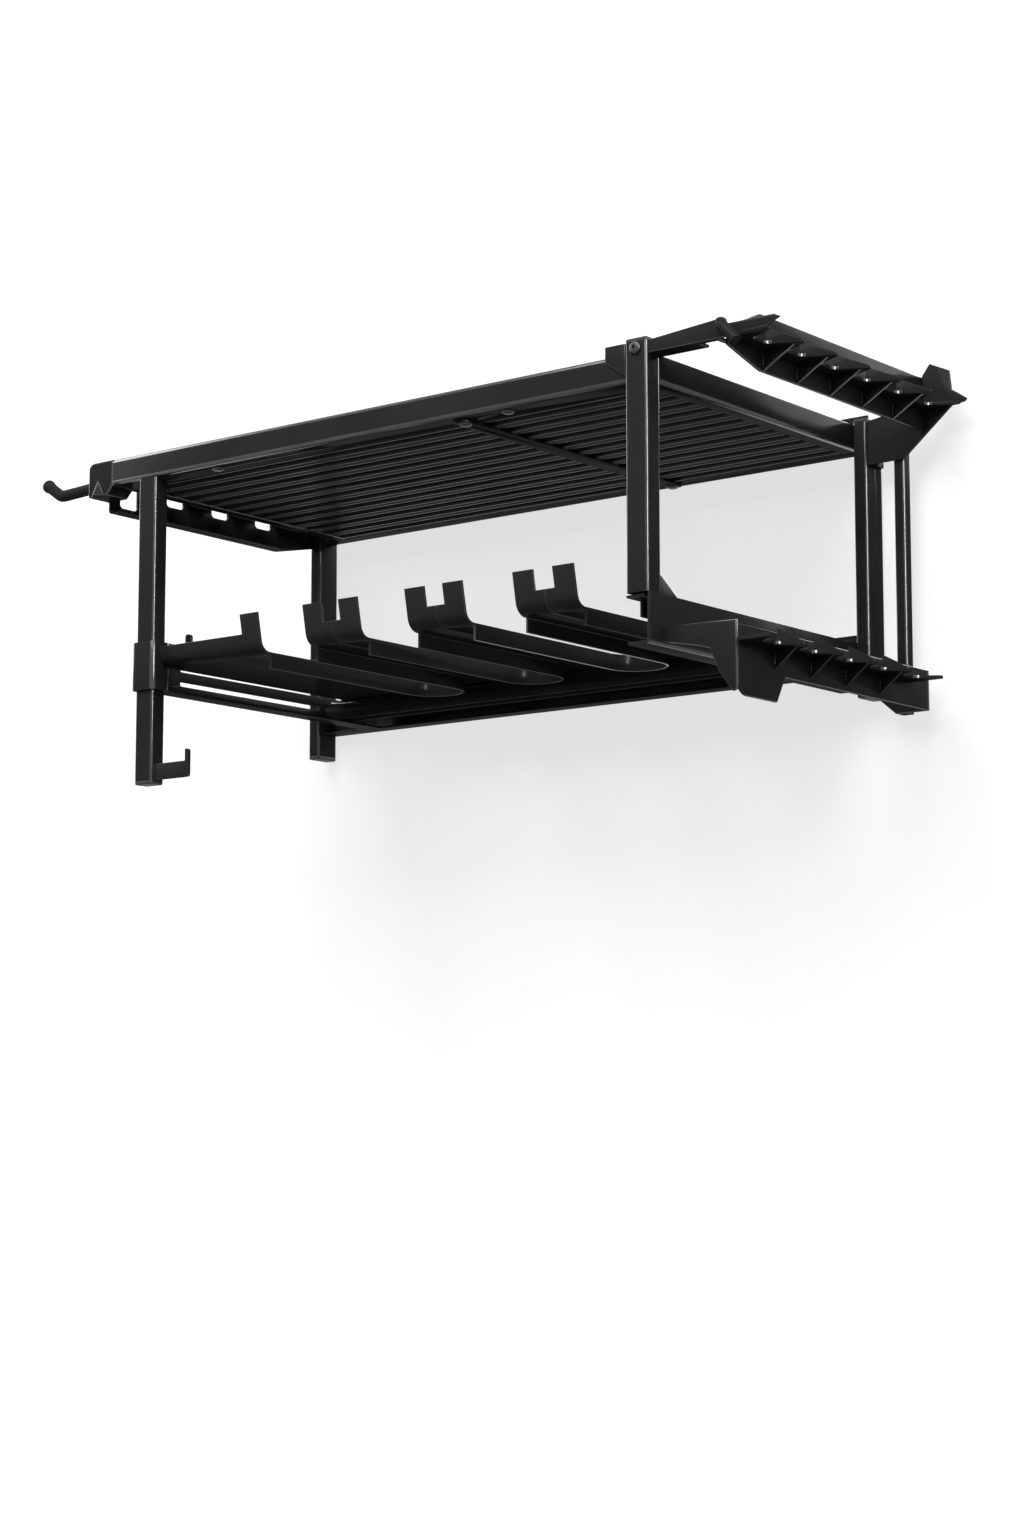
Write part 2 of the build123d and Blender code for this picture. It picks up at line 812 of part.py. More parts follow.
# Foot hook of the left post: a flat bar with an upturned end
with BuildPart() as post_foot_hook:
    foot_x = left_post_x + post_width
    foot_z = shelf_z - post_drop
    with BuildSketch(facing(front_y + 2 * plate)) as hook_shape:
        with BuildLine():
            Polyline(
                (foot_x, foot_z),
                (foot_x + foot_reach, foot_z),
                (foot_x + foot_reach, foot_z + foot_height + foot_lift),
                (foot_x + foot_reach - foot_end, foot_z + foot_height + foot_lift),
                (foot_x + foot_reach - foot_end, foot_z + foot_height),
                (foot_x, foot_z + foot_height),
                close=True,
            )
        make_face()
        fillet(hook_shape.vertices().group_by(Axis.X)[-1], radius=foot_end / 2)
    extrude(amount=plate)
save(post_foot_hook, "post_foot_hook")

# Corner plate over the right end of the beam, flush with the front of the right post
with BuildPart() as corner_plate:
    plate_top = shelf_z + post_rise
    plate_left = right_post_x - corner_plate_width
    extrude(
        outline(
            facing(front_y),
            [
                (plate_left, plate_top),
                (plate_left, plate_top - corner_plate_height / 2),
                (right_post_x, plate_top - corner_plate_height),
                (right_post_x, plate_top),
            ],
        ),
        amount=sheet,
    )
save(corner_plate, "corner_plate")

# Right front arm: a tapered face on the side of the post, and a flange behind it
arm_z = shelf_z + arm_underside
with BuildPart() as right_front_arm:
    extrude(
        outline(
            facing(front_y + plate),
            [
                (right_x, arm_z),
                (right_x, shelf_z + post_rise),
                (comb_x + plate, shelf_z + arm_rise),
                (comb_x + 4 * plate, shelf_z + arm_rise - 2 * plate),
                (right_x + arm_tip - 2 * plate, shelf_z + arm_rise - 2 * plate),
                (right_x + arm_tip, shelf_z + arm_rise - 3 * plate),
                (right_x + arm_tip - 5 * plate, arm_z + plate),
                (comb_x + 2 * plate, arm_z),
            ],
        ),
        amount=plate,
    )
    with BuildSketch(level(arm_z)):
        with Locations((right_x, front_y + plate)):
            Rectangle(arm_reach, arm_flange - plate, align=(Align.MIN, Align.MIN))
        with Locations((comb_x - arm_notch_in, front_y + arm_flange - arm_notch_depth)):
            Rectangle(
                arm_notch_width,
                arm_notch_depth + overrun,
                align=(Align.CENTER, Align.MIN),
                mode=Mode.SUBTRACT,
            )
    extrude(amount=plate)
save(right_front_arm, "right_front_arm")

# Corner peg: a short rod that stands off the arm and turns down
with BuildPart() as corner_peg:
    peg_x = comb_x + 2 * plate
    peg_z = shelf_z + arm_rise - peg_radius
    with BuildLine() as peg_line:
        FilletPolyline(
            (peg_x, front_y, peg_z),
            (peg_x, front_y - peg_stand, peg_z),
            (peg_x + peg_run, front_y - peg_stand, peg_z - peg_fall),
            radius=peg_bend,
        )
    with BuildSketch(Plane(peg_line.line @ 0, z_dir=peg_line.line % 0)):
        Circle(peg_radius)
    sweep()
    chamfer(corner_peg.faces().sort_by(Axis.X)[-1].edges(), length=peg_radius / 2)
save(corner_peg, "corner_peg")


def comb_plate(front, z, depth, slots, pitch):
    """Comb with tapered fingers; each finger has a fin turned up along its front edge."""
    root_x = comb_x + plate + comb_root
    tip_x = comb_x + depth
    root_half = (pitch - comb_slot_width) / 2
    tip_half = comb_tip / 2
    with BuildPart() as comb:
        with BuildSketch(level(z)) as shape:
            with BuildLine():
                rear = front + slots * pitch
                points = [(comb_x + plate, front), (tip_x, front), (tip_x, front + tip_half)]
                for number in range(slots):
                    middle = front + (number + 1 / 2) * pitch
                    points += [
                        (root_x, middle - comb_slot_width / 2),
                        (root_x, middle + comb_slot_width / 2),
                        (tip_x, middle + pitch / 2 - tip_half),
                        (tip_x, middle + pitch / 2 + tip_half),
                    ]
                points = points[:-1] + [(tip_x, rear), (comb_x + plate, rear)]
                Polyline(*points, close=True)
            make_face()
            roots = [v for v in shape.vertices() if abs(v.X - root_x) < fit_gap]
            fillet(roots, radius=comb_slot_width / 3)
        extrude(amount=plate)
        for number in range(1, slots):
            middle = front + number * pitch
            run = Vector(tip_x - root_x, root_half - tip_half, 0)
            edge = Plane(
                (root_x, middle - root_half, z + plate / 2),
                x_dir=run,
                z_dir=(run.Y, -run.X, 0),
            )
            with BuildSketch(edge) as fin:
                with BuildLine():
                    Polyline((0, 0), (run.length, 0), (run.length, plate / 2),
                             (0, fin_height), close=True)
                make_face()
            extrude(fin.sketch, amount=-fin_thick)
    return comb


def gussets(front, z, count, pitch, run):
    """Triangular gussets under the fingers, against the back plate."""
    with BuildPart() as group:
        for number in range(1, count):
            middle = front + number * pitch
            extrude(
                outline(
                    facing(middle + plate / 2),
                    [
                        (comb_x + plate, z),
                        (comb_x + plate + run, z),
                        (comb_x + plate, z - gusset_drop),
                    ],
                ),
                amount=plate,
            )
    return group


comb_z = shelf_z + comb_height
comb_front_y = front_y + comb_front
save(comb_plate(comb_front_y, comb_z, comb_depth, comb_slots, comb_pitch), "right_comb")
save(gussets(comb_front_y, comb_z, comb_slots, comb_pitch, gusset_run), "right_comb_gussets")

# Back plate of the upper comb, ramped at the front
with BuildPart() as right_back_plate:
    extrude(
        outline(
            section(comb_x),
            [
                (comb_front_y, comb_z - back_plate_drop / 3),
                (comb_front_y, comb_z + plate + fin_height / 2),
                (comb_front_y + back_plate_ramp, comb_z + back_plate_top),
                (rear_plate_y, comb_z + back_plate_top),
                (rear_plate_y, comb_z - back_plate_drop),
                (comb_front_y + back_plate_ramp, comb_z - back_plate_drop),
            ],
        ),
        amount=plate,
    )
save(right_back_plate, "right_back_plate")

# Rear arm: a plate from the right upright past the end of the comb, with a fixing tab
rear_arm_left = right_x + upright_width
rear_arm_width = comb_depth + arm_reach - upright_width
rear_arm_height = beam_height + rear_arm_drop
rear_arm_shares = [
    (0.0, 0.0), (0.38, 0.0), (0.66, 0.55), (0.9, 1.03), (1.04, 1.08),
    (1.06, 1.14), (0.9, 1.4), (0.88, 1.84), (0.68, 2.06), (0.6, 1.82), (0.54, 1.2), (0.0, 1.0),
]
with BuildPart() as right_rear_arm:
    extrude(
        outline(
            facing(rear_plate_y + plate),
            [
                (
                    rear_arm_left + across * rear_arm_width,
                    shelf_z - rear_arm_drop + up * rear_arm_height,
                )
                for across, up in rear_arm_shares
            ],
        ),
        amount=plate,
    )
    with BuildSketch(section(rear_arm_left)):
        with Locations((rear_plate_y + plate, shelf_z - rear_arm_drop)):
            Rectangle(comb_back - plate - sheet, rear_arm_height, align=(Align.MIN, Align.MIN))
    extrude(amount=plate)
    drill(rear_screw_seats, screw_hole_radius, plate + overrun)
save(right_rear_arm, "right_rear_arm")

# Strut that carries the rear end of the lower comb
strut_bottom = shelf_z - lower_comb_drop - lower_plate_drop / 2
with BuildPart() as outer_strut:
    extrude(
        tube(
            level(strut_bottom),
            right_x + strut_out,
            rear_plate_y + plate,
            strut_width,
            strut_depth - sheet,
        ),
        amount=shelf_z + beam_height / 2 - strut_bottom,
    )
save(outer_strut, "outer_strut")

# Lower comb, its gussets and its back plate with a rounded front corner
lower_z = shelf_z - lower_comb_drop
lower_front_y = front_y + lower_comb_front
lower_run = lower_comb_depth - 4 * plate
save(
    comb_plate(lower_front_y, lower_z, lower_comb_depth, lower_comb_slots, lower_comb_pitch),
    "lower_comb",
)
save(
    gussets(lower_front_y, lower_z, lower_comb_slots, lower_comb_pitch, lower_run),
    "lower_comb_gussets",
)
with BuildPart() as lower_back_plate:
    with BuildSketch(section(comb_x)) as back:
        with BuildLine():
            Polyline(
                (lower_front_y, lower_z - lower_plate_drop),
                (lower_front_y, lower_z + lower_plate_top),
                (rear_plate_y, lower_z + lower_plate_top),
                (rear_plate_y, lower_z - lower_plate_drop / 2),
                (lower_front_y + lower_plate_deep + fin_height, lower_z - lower_plate_drop / 2),
                (lower_front_y + lower_plate_deep, lower_z - lower_plate_drop),
                close=True,
            )
        make_face()
        low_front = back.vertices().group_by(Axis.Y)[0].sort_by(Axis.X)[0]
        fillet(low_front, radius=lower_plate_corner)
    extrude(amount=plate)
save(lower_back_plate, "lower_back_plate")

# Stepped arm from the tier's right rail to the front end of the lower comb
lower_arm_height = tier_z - lower_z + lower_plate_drop
lower_arm_shares = [
    (0.0, 0.97), (0.0, 0.77), (0.52, 0.66), (0.66, 0.62), (0.8, 0.3),
    (0.98, 0.04), (1.04, 0.06), (1.04, 0.94),
]
with BuildPart() as lower_front_arm:
    extrude(
        outline(
            facing(lower_front_y),
            [
                (
                    right_x + across * arm_reach,
                    lower_z - lower_plate_drop + up * lower_arm_height,
                )
                for across, up in lower_arm_shares
            ],
        ),
        amount=plate,
    )
save(lower_front_arm, "lower_front_arm")

# Plate from the right upright to the rear end of the lower comb, fixed to the strut
with BuildPart() as lower_rear_arm:
    lower_rear_z = upright_z
    extrude(
        outline(
            facing(rear_plate_y + plate),
            [
                (rear_arm_left, lower_rear_z),
                (rear_arm_left, lower_rear_z + rear_arm_height / 2),
                (comb_x + plate, lower_z + lower_plate_top),
                (comb_x + plate, lower_z - lower_plate_drop / 2),
                (right_x + strut_out, lower_z - lower_plate_drop / 2),
            ],
        ),
        amount=plate,
    )
save(lower_rear_arm, "lower_rear_arm")

# Bracket behind the foot of the right post, on the inner side of the tier's rail
with BuildPart() as post_bracket:
    bracket_y = front_y + post_depth
    bracket_top = right_post_z + bracket_rise
    extrude(
        outline(
            section(bracket_x),
            [
                (bracket_y, tier_z),
                (bracket_y, bracket_top),
                (bracket_y + plate, bracket_top),
                (bracket_y + bracket_run, right_post_z),
                (bracket_y + bracket_run, tier_z),
            ],
        ),
        amount=plate,
    )
    with BuildSketch(facing(bracket_y + plate)):
        with Locations((right_post_x + tube_corner, right_post_z)):
            Rectangle(
                post_width - tube_corner - sheet, bracket_rise, align=(Align.MIN, Align.MIN)
            )
    extrude(amount=plate)
save(post_bracket, "post_bracket")


def screw_head(length):
    """A button-headed screw with a hexagon socket; its head stands on the seat."""
    with BuildPart() as screw:
        with BuildSketch(Plane.XY):
            Circle(screw_radius)
        extrude(amount=-length)
        with BuildSketch(Plane.XZ):
            with BuildLine():
                Polyline(
                    (0, 0),
                    (screw_head_radius, 0),
                    (screw_head_radius, screw_head_height / 3),
                    (2 * screw_socket, screw_head_height),
                    (0, screw_head_height),
                    close=True,
                )
            make_face()
        revolve(axis=Axis.Z)
        with BuildSketch(Plane.XY.offset(screw_head_height - screw_socket)):
            RegularPolygon(screw_socket, 6)
        extrude(amount=screw_socket + overrun, mode=Mode.SUBTRACT)
    return screw.part


with BuildPart() as frame_screws:
    with Locations(*screw_seats):
        add(screw_head(screw_length))
save(frame_screws, "frame_screws")

with BuildPart() as cradle_bolts:
    with Locations(*bolt_seats):
        add(screw_head(bolt_length))
save(cradle_bolts, "cradle_bolts")

# Nuts of the cradle bolts, under the cross bar's web
with BuildPart() as cradle_nuts:
    with Locations(*[seat.offset(-2 * sheet) for seat in bolt_seats]):
        with BuildSketch(Plane.XY) as nut:
            RegularPolygon(nut_flat / 2, 6, major_radius=False)
            Circle(screw_hole_radius, mode=Mode.SUBTRACT)
        add(extrude(nut.sketch, amount=-nut_height, mode=Mode.PRIVATE))
save(cradle_nuts, "cradle_nuts")
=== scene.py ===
"""Dresses the wall-mounted tool rack: finishes, soft edges, round rods, fasteners, welds and studio."""
import logging
import math
from dataclasses import dataclass
from enum import Enum

import bpy
import numpy as np
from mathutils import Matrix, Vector


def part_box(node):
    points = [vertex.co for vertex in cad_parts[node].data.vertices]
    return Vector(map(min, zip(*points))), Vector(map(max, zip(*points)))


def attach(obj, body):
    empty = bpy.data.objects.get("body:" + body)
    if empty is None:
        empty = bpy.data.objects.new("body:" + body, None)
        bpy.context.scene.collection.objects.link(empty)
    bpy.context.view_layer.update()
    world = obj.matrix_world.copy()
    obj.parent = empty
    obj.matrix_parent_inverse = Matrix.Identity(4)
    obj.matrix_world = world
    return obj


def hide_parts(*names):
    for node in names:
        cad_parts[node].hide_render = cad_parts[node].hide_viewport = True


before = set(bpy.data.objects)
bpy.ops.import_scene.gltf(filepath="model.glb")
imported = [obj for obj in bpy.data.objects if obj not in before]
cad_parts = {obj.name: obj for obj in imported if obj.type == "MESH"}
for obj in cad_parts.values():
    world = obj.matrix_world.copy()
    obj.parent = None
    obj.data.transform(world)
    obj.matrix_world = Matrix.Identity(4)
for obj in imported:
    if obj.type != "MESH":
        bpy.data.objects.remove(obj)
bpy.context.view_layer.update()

log = logging.getLogger("tool_rack")

Socket = bpy.types.NodeSocket
Solid = tuple[np.ndarray, list]
Triple = tuple[float, float, float]

MM = 0.001
BODY = "root"
TURN = 2 * math.pi
SHEET = 1.6 * MM
PLATE = 2.0 * MM
# Attribute on the narrow faces: glossier coat there, and a paler colour that is partly abrasion and partly
# a painted highlight.
EDGE_WEAR_AND_HIGHLIGHT = "edge_wear_and_highlight"
SHARP_TURN = math.radians(38)
OBLIQUE = (0.31, 0.54, 0.78)
BEND_STEPS = 14
TIP_ROWS = 15
BEAD_AROUND = 12
BEAD_ROWS_PER_RIPPLE = 6
BEAD_LEAST_ROWS = 8
BEAD_END = 0.02
BEAD_END_SIZE = 0.35
BEAD_RIPPLE_SIZE = 0.09


class Slot(Enum):
    """The material slots."""

    POWDER_COAT = "black_powder_coat"
    PLASTIC = "black_plastic"
    ZINC = "black_zinc"


class Edge(Enum):
    """How wide the rounding of an edge is, in metres."""

    STRIP = 0.28 * MM
    FOLDED_SHEET = 0.40 * MM
    FLAT_PLATE = 0.45 * MM
    TUBE = 1.20 * MM
    CASTING = 0.50 * MM
    MOULDING = 0.25 * MM
    NUT = 0.20 * MM


# Shader maths


class Value:
    """A socket that carries a number, with the operators that the node trees use."""

    def __init__(self, nodes: "Nodes", socket: Socket) -> None:
        """Keeps the socket and the tree it belongs to."""
        self.nodes = nodes
        self.socket = socket

    def _maths(self, operation: str, first: "Value | float", second: "Value | float") -> "Value":
        """Adds one Math node.

        Args:
            operation: The node's operation.
            first: The first number or socket.
            second: The second number or socket.

        Returns:
            The node's result.
        """
        node = self.nodes.node("ShaderNodeMath", {"operation": operation}, {0: first, 1: second})
        return Value(self.nodes, node.outputs[0])

    def __add__(self, other: "Value | float") -> "Value":
        """self + other."""
        return self._maths("ADD", self, other)

    def __radd__(self, other: float) -> "Value":
        """other + self."""
        return self._maths("ADD", other, self)

    def __sub__(self, other: "Value | float") -> "Value":
        """self - other."""
        return self._maths("SUBTRACT", self, other)

    def __rsub__(self, other: float) -> "Value":
        """other - self."""
        return self._maths("SUBTRACT", other, self)

    def __mul__(self, other: "Value | float") -> "Value":
        """self * other."""
        return self._maths("MULTIPLY", self, other)

    def __rmul__(self, other: float) -> "Value":
        """other * self."""
        return self._maths("MULTIPLY", other, self)

    def __pow__(self, power: float) -> "Value":
        """self ** power."""
        return self._maths("POWER", self, power)

    def over(self, other: float) -> "Value":
        """1 where this number is larger than other, and 0 elsewhere."""
        return self._maths("GREATER_THAN", self, other)

    def above(self, floor: float) -> "Value":
        """The larger of this number and floor."""
        return self._maths("MAXIMUM", self, floor)

    def below(self, ceiling: float) -> "Value":
        """The smaller of this number and ceiling."""
        return self._maths("MINIMUM", self, ceiling)


class Nodes:
    """One node tree, built from plain calls."""

    def __init__(self, tree: bpy.types.NodeTree) -> None:
        """Keeps the tree."""
        self.tree = tree

    def node(self, kind: str, settings: dict | None = None, sockets: dict | None = None) -> bpy.types.Node:
        """Adds one node.

        Args:
            kind: The node's type.
            settings: Its properties, set first.
            sockets: Numbers, colours, Values or sockets for its inputs, by name or place.

        Returns:
            The node.
        """
        made = self.tree.nodes.new(kind)
        for name, setting in (settings or {}).items():
            setattr(made, name, setting)
        for name, given in (sockets or {}).items():
            given = given.socket if isinstance(given, Value) else given
            if isinstance(given, Socket):
                self.tree.links.new(given, made.inputs[name])
            else:
                made.inputs[name].default_value = given
        return made


@dataclass(frozen=True)
class Noise:
    """Clouds in a metre, layers of finer clouds, and how strong the finer layers are."""

    scale: float
    detail: float
    rough: float = 0.5


class Shader(Nodes):
    """The node tree of a material or of the world."""

    def __init__(self, owner: bpy.types.Material | bpy.types.World) -> None:
        """Empties the owner's tree.

        Args:
            owner: The material or the world.
        """
        owner.use_nodes = True
        super().__init__(owner.node_tree)
        self.tree.nodes.clear()

    def places(self) -> Socket:
        """The surface point in the rack's own frame, in metres."""
        return self.node("ShaderNodeTexCoord").outputs["Object"]

    def noise(self, noise: Noise) -> Value:
        """Cloudy noise from 0 to 1.

        Args:
            noise: Its size and layers.

        Returns:
            The noise.
        """
        sockets = {
            "Vector": self.places(), "Scale": noise.scale, "Detail": noise.detail, "Roughness": noise.rough,
        }
        return Value(self, self.node("ShaderNodeTexNoise", None, sockets).outputs["Fac"])

    def upwards(self) -> Value:
        """1 where the surface faces up, falling to 0 where it stands upright."""
        normal = self.node("ShaderNodeNewGeometry").outputs["Normal"]
        split = self.node("ShaderNodeSeparateXYZ", None, {0: normal})
        return Value(self, split.outputs["Z"]).above(0.0)

    def edge_wear_and_highlight_mask(self) -> Value:
        """1 on the rounded edges of a dressed node, 0 elsewhere: the mask of the edge gloss and of the
        paler edge colour, which is partly a painted highlight.
        """
        return Value(self, self.node("ShaderNodeAttribute", {"attribute_name": EDGE_WEAR_AND_HIGHLIGHT}).outputs["Fac"])

    def mix(self, share: Value | float, first: object, second: object) -> Socket:
        """A colour between two others.

        Args:
            share: How much of the second.
            first: The first colour.
            second: The second colour.

        Returns:
            The mixed colour.
        """
        sockets = {0: share, 6: first, 7: second}
        node = self.node("ShaderNodeMix", {"data_type": "RGBA", "clamp_factor": True}, sockets)
        return node.outputs[2]

    def blend(self, share: Value | float | Socket, first: Socket, second: Socket) -> Socket:
        """A shader between two others.

        Args:
            share: How much of the second.
            first: The first shader.
            second: The second shader.

        Returns:
            The blended shader.
        """
        return self.node("ShaderNodeMixShader", None, {0: share, 1: first, 2: second}).outputs[0]

    def bump(self, height: Value, strength: float, depth: float) -> Socket:
        """A normal tilted by a height.

        Args:
            height: The height, from 0 to 1.
            strength: How much of it is used.
            depth: The real height of 1, in metres.

        Returns:
            The normal.
        """
        sockets = {"Strength": strength, "Distance": depth, "Height": height}
        return self.node("ShaderNodeBump", None, sockets).outputs["Normal"]

    def surface(self, shader: Socket) -> None:
        """Makes a shader the surface of the material."""
        self.node("ShaderNodeOutputMaterial", None, {"Surface": shader})

    def principled(self, sockets: dict) -> None:
        """Makes a Principled shader with these inputs the surface of the material."""
        self.surface(self.node("ShaderNodeBsdfPrincipled", None, sockets).outputs[0])


def rgba(colour: Triple) -> tuple[float, float, float, float]:
    """The colour with full alpha."""
    return (*colour, 1.0)


# Finishes


@dataclass(frozen=True)
class PowderCoat:
    """Satin black powder coat: an orange-peel skin over steel, glossier and a little paler along the
    edges, where the paler colour is partly abrasion and partly a painted highlight, with some dust
    on what faces up."""

    slot: Slot = Slot.POWDER_COAT
    deep: Triple = (0.0180, 0.0180, 0.0188)
    light: Triple = (0.0270, 0.0270, 0.0280)
    # Paler edge colour: partly abrasion of the coat, partly a painted highlight on the edges.
    worn_and_highlight: Triple = (0.050, 0.050, 0.051)
    dust: Triple = (0.085, 0.083, 0.080)
    roughness: float = 0.46
    specular: float = 0.0
    gloss: float = 0.07
    gloss_roughness: float = 0.18
    clouds: Noise = Noise(11.0, 3.0, 0.55)
    rubs: Noise = Noise(46.0, 4.0, 0.6)
    peel: Noise = Noise(420.0, 1.0)
    grain: Noise = Noise(1500.0, 2.0)
    peel_share: float = 0.6
    skin_strength: float = 0.45
    skin_depth: float = 0.09 * MM
    cloud_contrast: float = 1.7
    dust_gain: float = 1.6
    dust_start: float = 0.45
    dust_share: float = 0.22
    most_dust: float = 0.35
    wear_and_highlight_gain: float = 2.4
    wear_and_highlight_start: float = 0.7
    roughness_of_rubs: float = 0.16
    roughness_of_clouds: float = 0.08
    roughness_of_dust: float = 0.6
    gloss_of_edges: float = 0.95
    gloss_of_rubs: float = 0.06

    def material(self) -> bpy.types.Material:
        """Builds the node material.

        The skin's height is part peel and part grain, and the coat's tone follows wide clouds.
        With rubs as a finer noise and f as how far the surface faces up, dust is
        share f * f (gain rubs - start). A paler colour is mixed in by gain rubs - start, from 0 to 1,
        on the rounded edges alone; it is partly abrasion and partly a painted highlight. The gloss
        is laid bare along all of them.

        Returns:
            The material.
        """
        made = bpy.data.materials.new(self.slot.value)
        shader = Shader(made)
        clouds, rubs = shader.noise(self.clouds), shader.noise(self.rubs)
        peel, grain = shader.noise(self.peel), shader.noise(self.grain)
        skin = peel * self.peel_share + grain * (1 - self.peel_share)
        settled = (rubs * self.dust_gain - self.dust_start).above(0.0)
        dust = ((shader.upwards() ** 2.0) * settled * self.dust_share).below(self.most_dust)
        coat = shader.mix((clouds - 0.5) * self.cloud_contrast + 0.5, rgba(self.deep), rgba(self.light))
        edge = shader.edge_wear_and_highlight_mask()
        # Mask of the paler edge colour, partly abrasion and partly a painted highlight.
        wear_and_highlight = edge * (rubs * self.wear_and_highlight_gain - self.wear_and_highlight_start).above(0.0).below(1.0)
        rough = self.roughness + (rubs - 0.5) * self.roughness_of_rubs
        rough = rough + (clouds - 0.5) * self.roughness_of_clouds + dust * self.roughness_of_dust
        gloss = edge * self.gloss_of_edges + self.gloss + (rubs - 0.5) * self.gloss_of_rubs
        shader.principled({
            "Base Color": shader.mix(dust, shader.mix(wear_and_highlight, coat, rgba(self.worn_and_highlight)), rgba(self.dust)),
            "Roughness": rough,
            "Specular IOR Level": self.specular,
            "Normal": shader.bump(skin, self.skin_strength, self.skin_depth),
            "Coat Weight": gloss.above(0.0),
            "Coat Roughness": self.gloss_roughness,
        })
        return made


@dataclass(frozen=True)
class MouldedPlastic:
    """Matte black plastic with a fine spark-eroded grain, for the caps."""

    slot: Slot = Slot.PLASTIC
    deep: Triple = (0.010, 0.010, 0.010)
    light: Triple = (0.017, 0.017, 0.017)
    roughness: float = 0.62
    roughness_of_clouds: float = 0.12
    specular: float = 0.4
    clouds: Noise = Noise(70.0, 3.0)
    grain: Noise = Noise(2600.0, 3.0, 0.6)
    grain_strength: float = 0.6
    grain_depth: float = 0.06 * MM

    def material(self) -> bpy.types.Material:
        """Builds the node material: grain for the height, clouds for tone and sheen.

        Returns:
            The material.
        """
        made = bpy.data.materials.new(self.slot.value)
        shader = Shader(made)
        clouds, grain = shader.noise(self.clouds), shader.noise(self.grain)
        shader.principled({
            "Base Color": shader.mix(clouds, rgba(self.deep), rgba(self.light)),
            "Roughness": self.roughness + (clouds - 0.5) * self.roughness_of_clouds,
            "Specular IOR Level": self.specular,
            "Normal": shader.bump(grain, self.grain_strength, self.grain_depth),
        })
        return made


@dataclass(frozen=True)
class BlackZinc:
    """Black zinc plating on screws, nuts and rivets: dark, part metallic, slightly blotched."""

    slot: Slot = Slot.ZINC
    deep: Triple = (0.026, 0.026, 0.028)
    light: Triple = (0.062, 0.061, 0.060)
    roughness: float = 0.36
    roughness_of_blotches: float = 0.22
    least_metal: float = 0.35
    metal_of_blotches: float = 0.5
    specular: float = 0.5
    blotches: Noise = Noise(380.0, 3.0, 0.6)
    grain: Noise = Noise(3200.0, 2.0)
    grain_strength: float = 0.3
    grain_depth: float = 0.03 * MM

    def material(self) -> bpy.types.Material:
        """Builds the node material: blotches drive the tone, the metal and the roughness.

        Returns:
            The material.
        """
        made = bpy.data.materials.new(self.slot.value)
        shader = Shader(made)
        blotches, grain = shader.noise(self.blotches), shader.noise(self.grain)
        shader.principled({
            "Base Color": shader.mix(blotches, rgba(self.deep), rgba(self.light)),
            "Metallic": blotches * self.metal_of_blotches + self.least_metal,
            "Roughness": self.roughness + (blotches - 0.5) * self.roughness_of_blotches,
            "Specular IOR Level": self.specular,
            "Normal": shader.bump(grain, self.grain_strength, self.grain_depth),
        })
        return made


class Finishes:
    """The three finishes, made once and shared by every piece."""

    def __init__(self) -> None:
        """Builds the materials."""
        recipes = (PowderCoat(), MouldedPlastic(), BlackZinc())
        self.materials = {recipe.slot: recipe.material() for recipe in recipes}

    def put(self, piece: bpy.types.Object, slot: Slot) -> None:
        """Gives a piece its finish in place of any other.

        Args:
            piece: The object.
            slot: The finish.
        """
        piece.data.materials.clear()
        piece.data.materials.append(self.materials[slot])


# Meshes


def unit(vectors: np.ndarray) -> np.ndarray:
    """Vectors over their own lengths."""
    return vectors / np.linalg.norm(vectors, axis=-1, keepdims=True)


def ring_solid(rings: np.ndarray, first: np.ndarray, last: np.ndarray) -> Solid:
    """A closed solid from a stack of rings with a pole at each end.

    Point (i, j) of the grid is joined to (i, j+1), (i+1, j+1) and (i+1, j), with j running round.
    Each end ring is joined to its pole by triangles. If six times the solid's signed volume, the
    sum of a . (b x c) over its triangles, comes out negative, the faces are turned round.

    Args:
        rings: Points, of shape (rings, points in a ring, 3).
        first: The pole before the first ring.
        last: The pole after the last ring.

    Returns:
        The vertices and the faces.
    """
    count, around = rings.shape[:2]
    points = np.vstack([rings.reshape(-1, 3), first[None], last[None]])
    row, column = np.meshgrid(np.arange(count - 1), np.arange(around), indexing="ij")
    after = (column + 1) % around
    corners = (row * around + column, row * around + after, (row + 1) * around + after,
               (row + 1) * around + column)
    quads = np.stack(corners, axis=-1).reshape(-1, 4)
    turn = np.arange(around)
    ahead = (turn + 1) % around
    start = np.stack([ahead, turn, np.full(around, count * around)], axis=-1)
    base = (count - 1) * around
    end = np.stack([base + turn, base + ahead, np.full(around, count * around + 1)], axis=-1)
    triangles = np.vstack([quads[:, [0, 1, 2]], quads[:, [0, 2, 3]], start, end])
    a, b, c = (points[triangles[:, n]] for n in range(3))
    if np.einsum("ij,ij->i", a, np.cross(b, c)).sum() < 0:
        quads, start, end = quads[:, ::-1], start[:, ::-1], end[:, ::-1]
    return points, quads.tolist() + start.tolist() + end.tolist()


def joined(solids: list[Solid]) -> Solid:
    """Several solids as one list of vertices and faces.

    Args:
        solids: The vertices and faces of each.

    Returns:
        The vertices and faces of all.
    """
    starts = np.cumsum([0] + [len(points) for points, _ in solids])
    faces = [
        [int(corner + start) for corner in face]
        for (_, ring), start in zip(solids, starts)
        for face in ring
    ]
    return np.vstack([points for points, _ in solids]), faces


